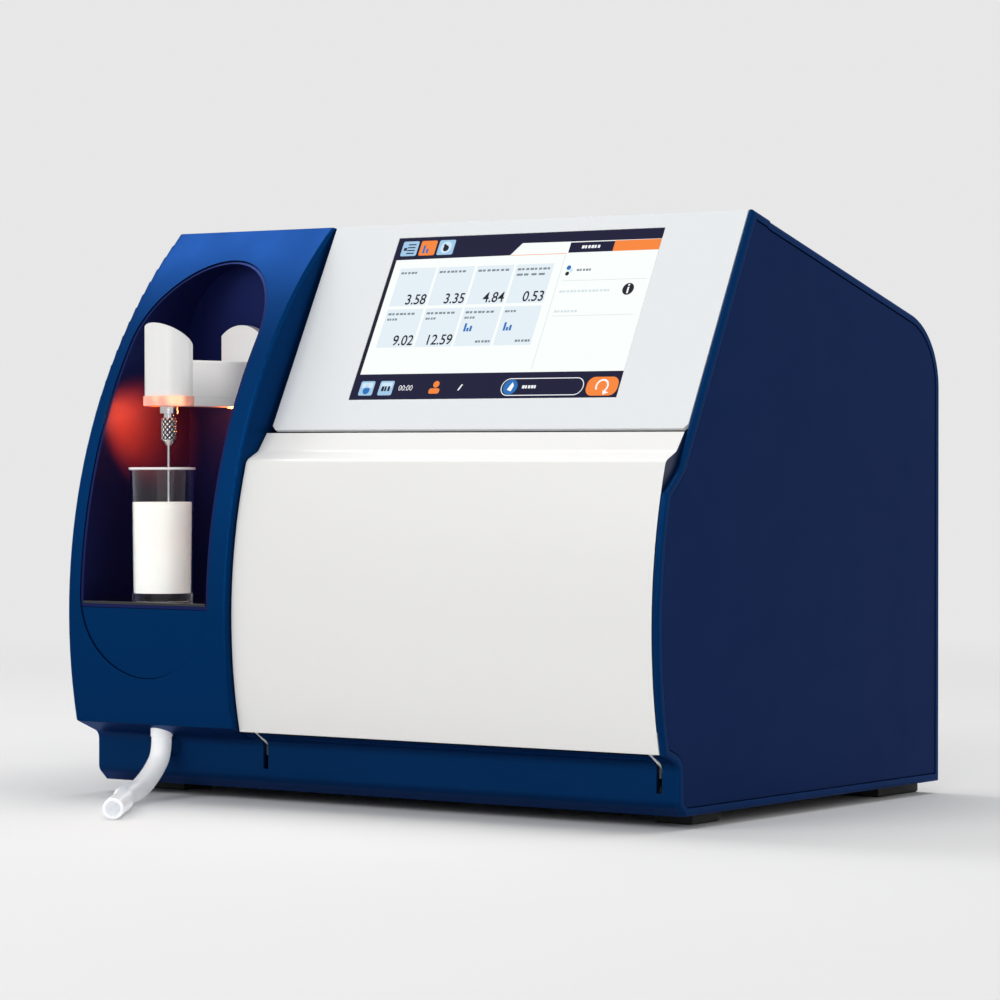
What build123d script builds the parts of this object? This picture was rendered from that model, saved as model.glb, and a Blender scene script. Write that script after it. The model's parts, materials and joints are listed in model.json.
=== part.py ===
from build123d import *
import os
from math import atan, cos, radians, sin, sqrt, tan

# Milk analyzer: a bench instrument that draws a cup of milk through a pipette
# X runs to the right, Y to the back and Z up, in millimetres
# The origin is on the bench, under the middle of the instrument

os.makedirs("parts", exist_ok=True)

# Overall size
width = 460.0
depth = 346.0
height = 374.0
foot_height = 8.0
side_x = width / 2
front_y = -depth / 2
back_y = depth / 2

# Front bow: one arc seen from the side, as wide as the sampling side
bow_radius = 340.5
bow_apex_z = 120.0
bow_bottom_z = 48.5
bow_width = 134.0
bow_right_x = bow_width - side_x
bow_centre_y = front_y + bow_radius
door_inset = 6.0

# Walls, seams and clearances
wall = 3.0
sheet = 2.0
side_wall = 3.5
side_border = 5.0
side_backing = 1.0
inner_x = side_x - side_wall
seam = 0.8
panel_setback = 0.4
edge_round = 2.2
gap = 0.3
running = 0.05


def bow_y(z, inset=0.0):
    """Front surface of the bow, or of a shell that lies inside it, at a height."""
    return bow_centre_y - sqrt((bow_radius - inset) ** 2 - (z - bow_apex_z) ** 2)


def bow_z(y, inset=0.0):
    """Height, above the apex, at which the bow or a shell inside it reaches a distance back."""
    return bow_apex_z + sqrt((bow_radius - inset) ** 2 - (bow_centre_y - y) ** 2)


# Leaning display face, from the top of the bow down to a setback behind it
face_drop = 134.2
face_setback = 22.8
top_front_y = bow_y(height)
face_bottom_z = height - face_drop
face_bottom_y = bow_y(face_bottom_z) + face_setback
face_slope = (top_front_y - face_bottom_y) / face_drop
face_lean = atan(face_slope)
face_length = face_drop / cos(face_lean)

# The side frames' step below the display
frame_step_z = face_bottom_z - 23.8
frame_knee_z = face_bottom_z - 38.8
frame_step_round = 24.0
frame_knee_round = 6.0

# Sloping top and rounded back
top_slope = 16.4
rear_radius = 50.0
header_depth = 19.4
cover_step = 0.8
cover_front_y = top_front_y + header_depth
roof_slope = tan(radians(top_slope))
rear_cover_drop = 43.64
rear_cover_bottom_z = height - (back_y - top_front_y) * roof_slope - rear_cover_drop

# Scooped plinth along the bottom of the front
scoop_y = front_y + 29.4
scoop_top_z = 39.5
scoop_bottom_z = 15.0
plinth_bottom_y = front_y + 37.0
plinth_back_y = front_y + 61.0
scoop_round = 6.5
lip_round = 1.5
door_lip_z = 45.6
sill_y = front_y + 18.5
sill_back_y = front_y + 55.0
sill_z = 45.2
fascia_depth = 34.0

# Sampling niche: an upright oval, its lower end closed by a flush cover
niche_left_wall = 10.5
niche_right_wall = 14.0
niche_radius = (bow_width - niche_left_wall - niche_right_wall) / 2
niche_x = -side_x + niche_left_wall + niche_radius
niche_top_centre_z = height - 75.5
niche_low_centre_z = 133.0
niche_floor_z = 126.3
niche_roof_run = 16.56
niche_back_y = bow_y(niche_top_centre_z + niche_radius) + niche_roof_run
niche_wall = 2.0
shelf_thick = 2.0

# Pipette head
head_x = niche_x - 0.25
head_y = front_y + 26.4
column_radius = 15.7
column_bottom_z = niche_top_centre_z - 36.5
column_top_z = niche_top_centre_z + 11.3
column_cut = 30.0
ring_radius = 16.6
ring_height = 6.4
arm_width = 27.0
arm_top_z = niche_top_centre_z - 12.8
arm_bottom_z = niche_top_centre_z - 42.9
arm_split_z = niche_top_centre_z - 37.3
shield_width = 34.0
shield_thick = 6.0
shield_front_y = niche_back_y - 8.6
shield_shoulder_z = niche_top_centre_z + 4.9
shield_top_z = niche_top_centre_z + 11.9
collar_radius = 6.0
collar_height = 4.8
neck_radius = 3.4
neck_height = 3.0
nut_radius = 5.0
nut_height = 14.6
nut_taper = 3.4
needle_radius = 1.0
needle_bore = 0.4
led_y = niche_back_y - 17.0
led_radius = 4.0
lift_travel = 35.0

# Lifting gear behind the niche
rod_radius = 4.0
rod_spacing = 44.0
rod_y = niche_back_y + 26.0
carriage_width = 60.0
carriage_depth = 18.0
carriage_bottom_z = arm_bottom_z + 2.4
carriage_height = 22.0
screw_radius = 3.0
bearing_width = 70.0
bearing_thick = 10.0
bearing_low_z = arm_bottom_z - 29.6
bearing_high_z = niche_top_centre_z + 46.5
motor_side = 35.0
motor_height = 34.0
stem_width = 10.0
stem_height = 14.0
slot_width = 12.0
slot_clearance = 1.5

# Sample cup and milk, sized by the room between the shelf and the arm
cup_x = niche_x - 3.25
cup_y = front_y + 23.2
cup_z = niche_floor_z + shelf_thick + gap
cup_foot_radius = 19.8
cup_lip_radius = 20.8
cup_height = 0.6834 * (arm_bottom_z - niche_floor_z - shelf_thick)
cup_wall = 1.1
cup_base = 5.0
cup_bead = 1.1
milk_level_z = cup_z + 0.7402 * cup_height
milk_gap = 0.1
needle_tip_z = cup_z + 0.6368 * cup_height

# Display: the screen keeps its share of the leaning face
panel_left_x = bow_right_x + 2.6
panel_right_x = inner_x - 0.7
panel_thick = 3.0
screen_tall = 0.789 * face_length
screen_width = 1.733 * screen_tall
screen_low = 0.1424 * face_length
screen_high = screen_low + screen_tall
screen_left_x = panel_left_x + 0.4893 * (panel_right_x - panel_left_x - screen_width)
lcd_thick = 6.0
lcd_margin = 4.0
tray_depth = 12.0

# Door and its hinge
door_left_x = bow_right_x + seam
door_right_x = inner_x - 0.7
door_top_z = face_bottom_z - 2.0
door_top_y = face_bottom_y - 2.0 * face_slope - 1.6
door_bottom_z = 46.4
door_skin = 3.0
grip_top = (door_top_y - 9.0, door_top_z - 11.8)
grip_edge_z = door_top_z - 17.4
grip_round = 6.0
door_return_y = door_top_y + 5.0
hinge_y = front_y + 39.0
hinge_z = 35.4
hinge_arm_x = (door_left_x + 9.2, door_right_x - 9.8)
hinge_arm_thick = 2.4
hinge_arm_width = 4.0
hinge_eye_radius = 5.0
hinge_slot_bottom_z = 22.0
pin_radius = 2.5

# Service bay behind the door
bay_left_x = bow_right_x + 4.0
bay_right_x = inner_x - 4.5
bay_front_y = front_y + 53.0
bay_back_y = front_y + 131.0
bay_floor_z = 50.0
bay_top_z = face_bottom_z - 7.8
bay_wall = 2.5


def bow_arc(z_start, z_end, inset=0.0):
    """Arc of the bow between two heights, in a side view."""
    heights = (z_start, (z_start + z_end) / 2, z_end)
    return ThreePointArc(*[(bow_y(z, inset), z) for z in heights])


def face_y(z, behind=0.0):
    """Leaning display face at a height, or a face parallel to it behind."""
    return top_front_y - (height - z) * face_slope + behind / cos(face_lean)


def roof_z(y, below=0.0):
    """Sloping top at a distance from the front, or a face parallel to it below."""
    return height - (y - top_front_y) * roof_slope - below / cos(radians(top_slope))


def near(y, z):
    """Corner of the sketch in hand that lies nearest to a point."""
    return vertices().sort_by_distance((y, z))[0]


def keep(builder, name):
    """Name a finished piece and write its file."""
    builder.part.label = name
    export_step(builder.part, f"parts/{name}.step")


# The leaning face, framed as a plane: x to the right, y up the face
face_plane = Plane(
    origin=(0, face_y(face_bottom_z), face_bottom_z),
    x_dir=(1, 0, 0),
    z_dir=(0, -cos(face_lean), sin(face_lean)),
)


def side_face(plane, bowed, inset=0.0):
    """Side view of the housing as a face, or one that lies inside it by an even border."""
    if bowed:
        lip = (bow_y(bow_bottom_z), bow_bottom_z)
    else:
        lip = (bow_y(door_lip_z, door_inset), door_lip_z)
        step = (face_y(frame_step_z), frame_step_z)
        knee = (bow_y(frame_knee_z, door_inset), frame_knee_z)
    top = (bow_y(height) if bowed else top_front_y, height)
    header_end = (cover_front_y, roof_z(cover_front_y))
    cover_start = (cover_front_y + cover_step, roof_z(cover_front_y + cover_step, cover_step))
    rear_top = (back_y, roof_z(back_y, cover_step))
    with BuildSketch(plane) as face:
        with BuildLine():
            if bowed:
                bow_arc(height, bow_bottom_z)
            else:
                Polyline(top, step, knee)
                bow_arc(frame_knee_z, door_lip_z, door_inset)
            Polyline(
                lip,
                (scoop_y, scoop_top_z),
                (scoop_y, scoop_bottom_z),
                (plinth_bottom_y, foot_height),
                (back_y, foot_height),
                rear_top,
                cover_start,
                header_end,
                top,
            )
        make_face()
        fillet(near(*rear_top), rear_radius)
        fillet(near(scoop_y, scoop_top_z), scoop_round)
        fillet(near(scoop_y, scoop_bottom_z), scoop_round)
        fillet(near(*lip), lip_round)
        if not bowed:
            fillet(near(*step), frame_step_round)
            fillet(near(*knee), frame_knee_round)
        if inset:
            offset(amount=-inset, kind=Kind.INTERSECTION, mode=Mode.REPLACE)
    return face.sketch


def side_frame(side, bowed):
    """Moulded border of one side, with a rebate for the flat panel."""
    inner = Plane.YZ.offset(side * inner_x)
    rebate = inner.offset(side * side_backing)
    with BuildPart() as frame:
        extrude(side_face(inner, bowed), amount=side * side_wall)
        extrude(side_face(rebate, bowed, side_border), amount=side * side_wall, mode=Mode.SUBTRACT)
        rim = frame.faces().filter_by(Axis.X).sort_by(Axis.X)
        outer = rim[-1] if side > 0 else rim[0]
        fillet(outer.outer_wire().edges(), edge_round)
    return frame


def side_panel(side, bowed):
    """Flat panel that sits in the rebate of a side frame."""
    rebate = Plane.YZ.offset(side * (inner_x + side_backing))
    with BuildPart() as panel:
        face = side_face(rebate, bowed, side_border + seam)
        extrude(face, amount=side * (side_wall - side_backing - panel_setback))
    return panel


left_side_frame = side_frame(-1, True)
keep(left_side_frame, "left_side_frame")
right_side_frame = side_frame(1, False)
keep(right_side_frame, "right_side_frame")
left_side_panel = side_panel(-1, True)
keep(left_side_panel, "left_side_panel")
right_side_panel = side_panel(1, False)
keep(right_side_panel, "right_side_panel")


def shell_face(plane, z_low, z_high, outer, inner):
    """Side view of a shell that follows the bow, between two insets and two heights."""
    with BuildSketch(plane) as face:
        with BuildLine():
            bow_arc(z_high, z_low, outer)
            Line((bow_y(z_low, outer), z_low), (bow_y(z_low, inner), z_low))
            bow_arc(z_low, z_high, inner)
            Line((bow_y(z_high, inner), z_high), (bow_y(z_high, outer), z_high))
        make_face()
    return face.sketch


def ahead_of_bow(plane, inset):
    """Everything in front of the bow, as a side view to cut with."""
    with BuildSketch(plane) as face:
        with BuildLine():
            bow_arc(height, 0, inset)
            Polyline((bow_y(0, inset), 0), (-depth, 0), (-depth, height), (bow_y(height, inset), height))
        make_face()
    return face.sketch


def oval_face(plane, radius, z_low):
    """Front view of the niche: round on top, and either round or flat at the bottom."""
    with BuildSketch(plane) as face:
        with Locations((niche_x, niche_top_centre_z)):
            Circle(radius)
        with Locations((niche_x, (niche_top_centre_z + z_low) / 2)):
            Rectangle(2 * radius, niche_top_centre_z - z_low)
        if z_low == niche_low_centre_z:
            with Locations((niche_x, niche_low_centre_z)):
                Circle(radius)
    return face.sketch


front = Plane.XZ

# Bow fascia: the bowed front skin on the left, with the oval opening of the niche
fascia_skin = 3.5
fascia_flange = 2.5
fascia_edge_round = 2.0
with BuildPart() as bow_fascia:
    with BuildSketch(Plane.YZ.offset(-inner_x)):
        with BuildLine():
            rear_z = bow_z(cover_front_y, fascia_depth)
            bow_arc(height, bow_bottom_z)
            Line((bow_y(bow_bottom_z), bow_bottom_z), (bow_y(bow_bottom_z, fascia_depth), bow_bottom_z))
            bow_arc(bow_bottom_z, rear_z, fascia_depth)
            Polyline(
                (bow_y(rear_z, fascia_depth), rear_z),
                (cover_front_y, roof_z(cover_front_y)),
                (bow_y(height), height),
            )
        make_face()
    extrude(amount=inner_x + bow_right_x)
    fillet(bow_fascia.edges().group_by(Axis.X)[-1].sort_by(SortBy.LENGTH)[-1], fascia_edge_round)
    with BuildSketch(Plane.YZ.offset(-inner_x + fascia_flange)):
        with BuildLine():
            bow_arc(height, 0, fascia_skin)
            behind = [(bow_y(0, fascia_skin), 0), (back_y, 0), (back_y, height)]
            Polyline(*behind, (bow_y(height, fascia_skin), height))
        make_face()
        with BuildLine():
            Polyline(
                (-depth, roof_z(-depth, wall)),
                (back_y, roof_z(back_y, wall)),
                (back_y, 0),
                (-depth, 0),
                close=True,
            )
        make_face(mode=Mode.INTERSECT)
    extrude(amount=inner_x + bow_right_x - fascia_flange - wall, mode=Mode.SUBTRACT)
    extrude(oval_face(front.offset(0), niche_radius, niche_low_centre_z), amount=depth, mode=Mode.SUBTRACT)
keep(bow_fascia, "bow_fascia")


def block(x_range, y_range, z_range, mode=Mode.ADD):
    """Box between two limits along each axis."""
    limits = (x_range, y_range, z_range)
    with Locations(tuple((low + high) / 2 for low, high in limits)):
        Box(*(high - low for low, high in limits), mode=mode)


def bar(start, radius, length, axis="Z", mode=Mode.ADD):
    """Round bar from a point along an axis."""
    turn = {"X": (0, 90, 0), "Y": (-90, 0, 0), "Z": (0, 0, 0)}[axis]
    with Locations(Location(start, turn)):
        Cylinder(radius, length, align=(Align.CENTER, Align.CENTER, Align.MIN), mode=mode)


# Niche liner: an arch-topped tub with a flat floor and a slot in its back for the arm
tub_radius = niche_radius - gap
tub_inner = tub_radius - niche_wall
slot_z = (carriage_bottom_z - slot_clearance, carriage_bottom_z + stem_height + lift_travel + slot_clearance)
with BuildPart() as niche_liner:
    tub = oval_face(front.offset(-niche_back_y - niche_wall), tub_radius, niche_low_centre_z)
    extrude(tub, amount=niche_back_y + niche_wall - front_y)
    hollow = oval_face(front.offset(-niche_back_y), tub_inner, niche_floor_z)
    extrude(hollow, amount=depth, mode=Mode.SUBTRACT)
    block((-side_x, bow_right_x), (front_y, back_y), (0, niche_floor_z - niche_wall), Mode.SUBTRACT)
    extrude(ahead_of_bow(Plane.YZ.offset(-side_x), seam), amount=side_x, mode=Mode.SUBTRACT)
    slot_x = (head_x - slot_width / 2, head_x + slot_width / 2)
    block(slot_x, (niche_back_y - 1, niche_back_y + niche_wall + 1), slot_z, Mode.SUBTRACT)
keep(niche_liner, "niche_liner")

# Niche cover: closes the lower end of the oval, just behind the fascia's surface
cover_inset = 1.0
with BuildPart() as niche_cover:
    cover_plane = Plane.YZ.offset(niche_x - niche_radius)
    cover_top_z = niche_floor_z - niche_wall - gap
    cover = shell_face(cover_plane, niche_low_centre_z - niche_radius, cover_top_z, cover_inset, fascia_skin)
    extrude(cover, amount=2 * niche_radius)
    extrude(oval_face(front, tub_radius, niche_low_centre_z), amount=depth, mode=Mode.INTERSECT)
keep(niche_cover, "niche_cover")

# Cup shelf: a plate on the niche floor
shelf_half = tub_inner - gap
shelf_front_y = bow_y(niche_floor_z + shelf_thick / 2, panel_setback)
with BuildPart() as cup_shelf:
    shelf_z = (niche_floor_z, niche_floor_z + shelf_thick)
    block((niche_x - shelf_half, niche_x + shelf_half), (shelf_front_y, niche_back_y - gap), shelf_z)
    fillet(cup_shelf.edges().filter_by(Axis.X).group_by(Axis.Y)[0], shelf_thick / 3)
keep(cup_shelf, "cup_shelf")


def plinth_face(plane, lip, crest):
    """Side view of the scooped plinth, from its lip to the base plate."""
    inner_scoop = (scoop_y + wall, scoop_bottom_z + wall / 2)
    with BuildSketch(plane) as face:
        with BuildLine():
            Polyline(
                lip,
                (scoop_y, scoop_top_z),
                (scoop_y, scoop_bottom_z),
                (plinth_bottom_y, foot_height),
                (plinth_back_y, foot_height),
                (plinth_back_y, foot_height + wall),
                (plinth_bottom_y + wall / 2, foot_height + wall),
                inner_scoop,
                (scoop_y + wall, scoop_top_z + wall / 2),
                crest,
                close=True,
            )
        make_face()
        fillet(near(scoop_y, scoop_top_z), scoop_round)
        fillet(near(scoop_y, scoop_bottom_z), scoop_round)
        fillet(near(*inner_scoop), scoop_round - wall)
    return face.sketch


# Plinth: scooped lip below the bow and below the door, with a sill behind the door
lip_run = 7.9
sill_thick = 3.0
slot_side = 0.8
spigot_x = niche_x - 2.25
spigot_y = front_y + 21.2
spigot_radius = 7.2
spigot_bottom_z = 40.0
spigot_top_z = 54.0
drain_x = niche_x + 1.75
drain_z = 33.0
drain_radius = 6.5
drain_recess = 1.5
with BuildPart() as plinth:
    bow_lip_y = bow_y(bow_bottom_z)
    left_lip = (bow_lip_y, bow_bottom_z)
    left_part = plinth_face(Plane.YZ.offset(-inner_x), left_lip, (bow_lip_y + lip_run, bow_bottom_z))
    extrude(left_part, amount=inner_x + bow_right_x)
    right_part = plinth_face(Plane.YZ.offset(bow_right_x), (sill_y, sill_z), (sill_y + lip_run, sill_z))
    extrude(right_part, amount=inner_x - bow_right_x)
    block((bow_right_x, inner_x), (sill_y + lip_run - wall, sill_back_y), (sill_z - sill_thick, sill_z))
    for arm_x in hinge_arm_x:
        half = hinge_arm_thick / 2 + slot_side
        slot_y = (front_y, hinge_y - hinge_arm_width / 2)
        block((arm_x - half, arm_x + half), slot_y, (hinge_slot_bottom_z, sill_z + 1), Mode.SUBTRACT)
    bar((spigot_x, spigot_y, 0), spigot_radius, height, "Z", Mode.SUBTRACT)
    bar((drain_x, -depth, drain_z), drain_radius, depth + scoop_y + drain_recess, "Y", Mode.SUBTRACT)
keep(plinth, "plinth")

# Header strip: closes the top between the display panel and the top cover
header_front_y = top_front_y + (panel_thick + seam) * cos(face_lean)
with BuildPart() as header_strip:
    with BuildSketch(Plane.YZ.offset(bow_right_x)):
        with BuildLine():
            Polyline(
                (header_front_y, roof_z(header_front_y)),
                (cover_front_y, roof_z(cover_front_y)),
                (cover_front_y, roof_z(cover_front_y, wall)),
                (header_front_y, roof_z(header_front_y, wall)),
                close=True,
            )
        make_face()
    extrude(amount=inner_x - bow_right_x)
keep(header_strip, "header_strip")

# Top cover: slopes back and rounds over into the upper back
cover_thick = 2.5
cover_back_y = back_y - cover_step
with BuildPart() as top_cover:
    with BuildSketch(Plane.YZ.offset(-inner_x)):
        start_y = cover_front_y + cover_step
        under = cover_step + cover_thick
        crown = (cover_back_y, roof_z(cover_back_y, cover_step))
        inner_crown = (cover_back_y - cover_thick, roof_z(cover_back_y - cover_thick, under))
        with BuildLine():
            Polyline(
                (start_y, roof_z(start_y, cover_step)),
                crown,
                (cover_back_y, rear_cover_bottom_z),
                (cover_back_y - cover_thick, rear_cover_bottom_z),
                inner_crown,
                (start_y, roof_z(start_y, under)),
                close=True,
            )
        make_face()
        fillet(near(*crown), rear_radius - cover_step)
        fillet(near(*inner_crown), rear_radius - under)
    extrude(amount=2 * inner_x)
keep(top_cover, "top_cover")

# Display panel: a flat leaning plate with a window
screen_centre = (screen_left_x + screen_width / 2, screen_low + screen_tall / 2)
panel_corner = 3.0


def screen_face(plane, margin):
    """Rectangle around the screen, wider by a margin on every side."""
    with BuildSketch(plane) as face:
        with Locations(screen_centre):
            Rectangle(screen_width + 2 * margin, screen_tall + 2 * margin)
    return face.sketch


with BuildPart() as display_panel:
    with BuildSketch(face_plane):
        with Locations(((panel_left_x + panel_right_x) / 2, face_length / 2)):
            Rectangle(panel_right_x - panel_left_x, face_length)
        chamfer(vertices().group_by(Axis.Y)[0], panel_corner)
    extrude(amount=-panel_thick)
    extrude(screen_face(face_plane, 0), amount=-panel_thick, mode=Mode.SUBTRACT)
keep(display_panel, "display_panel")

# Touch glass in the window, and the display module behind it
glass_setback = 0.2
glass_gap = 0.15
with BuildPart() as touch_glass:
    glass = screen_face(face_plane.offset(-glass_setback), -glass_gap)
    extrude(glass, amount=glass_setback - panel_thick)
keep(touch_glass, "touch_glass")
with BuildPart() as lcd_module:
    extrude(screen_face(face_plane.offset(-panel_thick), lcd_margin), amount=-lcd_thick)
keep(lcd_module, "lcd_module")

# Display frame: carries the panel between the housing walls and boxes in the module
frame_thick = 2.5
tray_wall = 2.0
tray_gap = 0.5
frame_low = 4.0
frame_high = screen_high + lcd_margin + tray_gap + tray_wall
with BuildPart() as display_frame:
    frame_front = face_plane.offset(-panel_thick)
    with BuildSketch(frame_front):
        with Locations(((bow_right_x + inner_x) / 2, (frame_low + frame_high) / 2)):
            Rectangle(inner_x - bow_right_x, frame_high - frame_low)
    extrude(amount=-frame_thick)
    extrude(screen_face(frame_front, lcd_margin + tray_gap + tray_wall), amount=-tray_depth)
    pocket = screen_face(frame_front, lcd_margin + tray_gap)
    extrude(pocket, amount=tray_wall - tray_depth, mode=Mode.SUBTRACT)
keep(display_frame, "display_frame")


def door_face(plane, reach, inset=0.0):
    """Side view of the door, closed at the back by a line that may be moved further back."""
    toe = (bow_y(door_bottom_z, door_inset + door_skin) + reach, door_bottom_z)
    brow = (bow_y(grip_edge_z, door_inset), grip_edge_z)
    with BuildSketch(plane) as face:
        with BuildLine():
            bow_arc(grip_edge_z, door_bottom_z, door_inset)
            Polyline(
                (bow_y(door_bottom_z, door_inset), door_bottom_z),
                toe,
                (toe[0] + door_rise_run, door_bottom_z + door_rise_run),
                (door_return_y + reach, door_return_z),
                (door_return_y + reach, door_top_z),
                (door_top_y, door_top_z),
                grip_top,
                brow,
            )
        make_face()
        fillet(near(*grip_top), grip_round)
        fillet(near(*brow), grip_round)
        if inset:
            offset(amount=-inset, kind=Kind.INTERSECTION, mode=Mode.REPLACE)
    return face.sketch


# Door: bowed skin with side returns, a finger ledge along the top and two hinge arms
door_rise_run = 22.5
door_return_z = 84.0
arm_top_z_door = 76.0
with BuildPart() as door_panel:
    extrude(door_face(Plane.YZ.offset(door_left_x), 0), amount=door_right_x - door_left_x)
    door_hollow = door_face(Plane.YZ.offset(door_left_x + door_skin), 30.0, door_skin)
    extrude(door_hollow, amount=door_right_x - door_left_x - 2 * door_skin, mode=Mode.SUBTRACT)
    for arm_x in hinge_arm_x:
        arm_plane = Plane.YZ.offset(arm_x - hinge_arm_thick / 2)
        inner = door_inset + door_skin
        root = (bow_y(door_bottom_z + hinge_arm_width, inner), door_bottom_z + hinge_arm_width)
        with BuildSketch(arm_plane):
            with Locations((hinge_y, hinge_z)):
                Circle(hinge_eye_radius)
            with BuildLine():
                slope = (root[1] - hinge_z) / (root[0] - hinge_y)
                rise = hinge_arm_width / 2 / cos(atan(slope))
                heel_y = bow_y(door_bottom_z, inner)
                Polyline(
                    (hinge_y, hinge_z - rise),
                    (hinge_y, hinge_z + rise),
                    (root[0] + hinge_arm_width, root[1] + slope * hinge_arm_width + rise),
                    (bow_y(arm_top_z_door, inner + hinge_arm_width), arm_top_z_door),
                    (bow_y(arm_top_z_door, inner - 1), arm_top_z_door),
                    (heel_y - 1, door_bottom_z),
                    (heel_y, hinge_z + slope * (heel_y - hinge_y) - rise),
                    close=True,
                )
            make_face()
            with Locations((hinge_y, hinge_z)):
                Circle(pin_radius + running, mode=Mode.SUBTRACT)
        extrude(amount=hinge_arm_thick)
keep(door_panel, "door_panel")

# Door liner: an inner skin on upright ribs
liner_inset = 20.0
liner_thick = 2.0
liner_low_z = 64.0
liner_high_z = door_top_z - 27.8
liner_left_x = door_left_x + door_skin + 14.0
liner_right_x = door_right_x - door_skin - 14.0
with BuildPart() as door_liner:
    liner = shell_face(
        Plane.YZ.offset(liner_left_x), liner_low_z, liner_high_z, liner_inset, liner_inset + liner_thick
    )
    extrude(liner, amount=liner_right_x - liner_left_x)
    rib_count = 5
    for number in range(rib_count):
        rib_x = liner_left_x + number * (liner_right_x - liner_left_x - liner_thick) / (rib_count - 1)
        rib_insets = (door_inset + door_skin, liner_inset + liner_thick / 2)
        extrude(shell_face(Plane.YZ.offset(rib_x), liner_low_z, liner_high_z, *rib_insets), amount=liner_thick)
keep(door_liner, "door_liner")

# Hinge brackets under the sill, each with its pin
cheek_thick = 3.0
cheek_gap = 0.5
bracket_front_y = hinge_y - hinge_eye_radius
bracket_back_y = hinge_y + hinge_eye_radius
bracket_bottom_z = hinge_z - hinge_eye_radius
for side_name, arm_x in zip(("left", "right"), hinge_arm_x):
    inside = hinge_arm_thick / 2 + cheek_gap
    outside = inside + cheek_thick
    with BuildPart() as bracket:
        bracket_y = (bracket_front_y, bracket_back_y)
        cap_low_z = hinge_z + hinge_eye_radius + gap
        cap_y = (hinge_y - pin_radius / 2, bracket_back_y)
        block((arm_x - outside, arm_x + outside), cap_y, (cap_low_z, sill_z - sill_thick))
        for low, high in ((-outside, -inside), (inside, outside)):
            block((arm_x + low, arm_x + high), bracket_y, (bracket_bottom_z, sill_z - sill_thick))
        bar((arm_x - outside, hinge_y, hinge_z), pin_radius, 2 * outside, "X")
    keep(bracket, f"{side_name}_hinge_bracket")

# Service bay: an open-front tub behind the door, flanged to the housing walls
flange_thick = 2.5
bay_flange_low_z = sill_z
bay_flange_high_z = face_bottom_z - 3.8
bay_cheek_top_z = min(bow_z(bay_front_y + flange_thick, fascia_depth) - 1.77, bay_flange_high_z - 5.0)
bay_cheek_thick = 2.5
cheek_x = bow_right_x - bay_cheek_thick
with BuildPart() as bay_liner:
    outer_x = (bay_left_x - bay_wall, bay_right_x + bay_wall)
    block(outer_x, (bay_front_y, bay_back_y + bay_wall), (bay_floor_z - bay_wall, bay_top_z))
    flange_y = (bay_front_y, bay_front_y + flange_thick)
    block((bow_right_x, inner_x), flange_y, (bay_flange_low_z, bay_flange_high_z))
    inside_z = (bay_floor_z, bay_top_z - bay_wall)
    block((bay_left_x, bay_right_x), (bay_front_y - 1, bay_back_y), inside_z, Mode.SUBTRACT)
    with BuildSketch(Plane.YZ.offset(cheek_x)):
        with BuildLine():
            bow_arc(bow_bottom_z, bay_cheek_top_z, fascia_depth)
            Polyline(
                (bow_y(bay_cheek_top_z, fascia_depth), bay_cheek_top_z),
                (bay_front_y + flange_thick, bay_cheek_top_z),
                (bay_front_y + flange_thick, bow_bottom_z),
                (bow_y(bow_bottom_z, fascia_depth), bow_bottom_z),
            )
        make_face()
    extrude(amount=bay_cheek_thick)
keep(bay_liner, "bay_liner")

# Two reagent bottles with screw caps
bottle_radius = 33.0
bottle_height = bay_top_z - bay_floor_z - 64.0
bottle_round = 12.0
bottle_neck_radius = 14.0
bottle_neck_height = 12.0
cap_radius = 17.0
cap_height = 18.0
bottle_y = (bay_front_y + bay_back_y) / 2
bottle_pitch = 80.0
left_bottle_x = bay_left_x + 47.0
for side_name, bottle_x in (("left", left_bottle_x), ("right", left_bottle_x + bottle_pitch)):
    with BuildPart() as bottle:
        bar((bottle_x, bottle_y, bay_floor_z), bottle_radius, bottle_height)
        fillet(bottle.edges().group_by(Axis.Z)[-1], bottle_round)
        fillet(bottle.edges().group_by(Axis.Z)[0], bottle_round / 4)
        bar((bottle_x, bottle_y, bay_floor_z + bottle_height), bottle_neck_radius, bottle_neck_height)
    keep(bottle, f"{side_name}_bottle")
    with BuildPart() as cap:
        cap_z = bay_floor_z + bottle_height + bottle_neck_height / 2
        bar((bottle_x, bottle_y, cap_z), cap_radius, cap_height)
        chamfer(cap.edges().group_by(Axis.Z)[-1], 1.0)
        bar((bottle_x, bottle_y, cap_z), bottle_neck_radius, bottle_neck_height / 2, "Z", Mode.SUBTRACT)
    keep(cap, f"{side_name}_cap")

# Peristaltic pump on the back of the bay, with its roller rotor
pump_x = bay_right_x - 72.0
pump_z = (bay_floor_z + bay_top_z) / 2 - 1.0
pump_radius = 34.0
pump_track = 26.0
pump_front_y = bay_back_y - 24.0
pump_floor_y = bay_back_y - 8.0
pump_shaft = 4.0
roller_radius = 7.0
roller_circle = 18.0
roller_count = 3
with BuildPart() as pump_body:
    bar((pump_x, pump_front_y, pump_z), pump_radius, bay_back_y - pump_front_y, "Y")
    bar((pump_x, pump_front_y, pump_z), pump_track, pump_floor_y - pump_front_y, "Y", Mode.SUBTRACT)
    bar((pump_x, pump_front_y + sheet, pump_z), pump_shaft, bay_back_y - pump_front_y - sheet, "Y")
keep(pump_body, "pump_body")
with BuildPart() as pump_rotor:
    rotor_y = pump_front_y + sheet
    rotor_length = pump_floor_y - gap - rotor_y
    bar((pump_x, rotor_y, pump_z), roller_circle - roller_radius + 2, rotor_length, "Y")
    with Locations(Location((pump_x, rotor_y, pump_z), (-90, 0, 0))):
        with PolarLocations(roller_circle, roller_count):
            Cylinder(roller_radius, rotor_length, align=(Align.CENTER, Align.CENTER, Align.MIN))
    bar((pump_x, rotor_y, pump_z), pump_shaft + running, rotor_length, "Y", Mode.SUBTRACT)
keep(pump_rotor, "pump_rotor")

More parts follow.
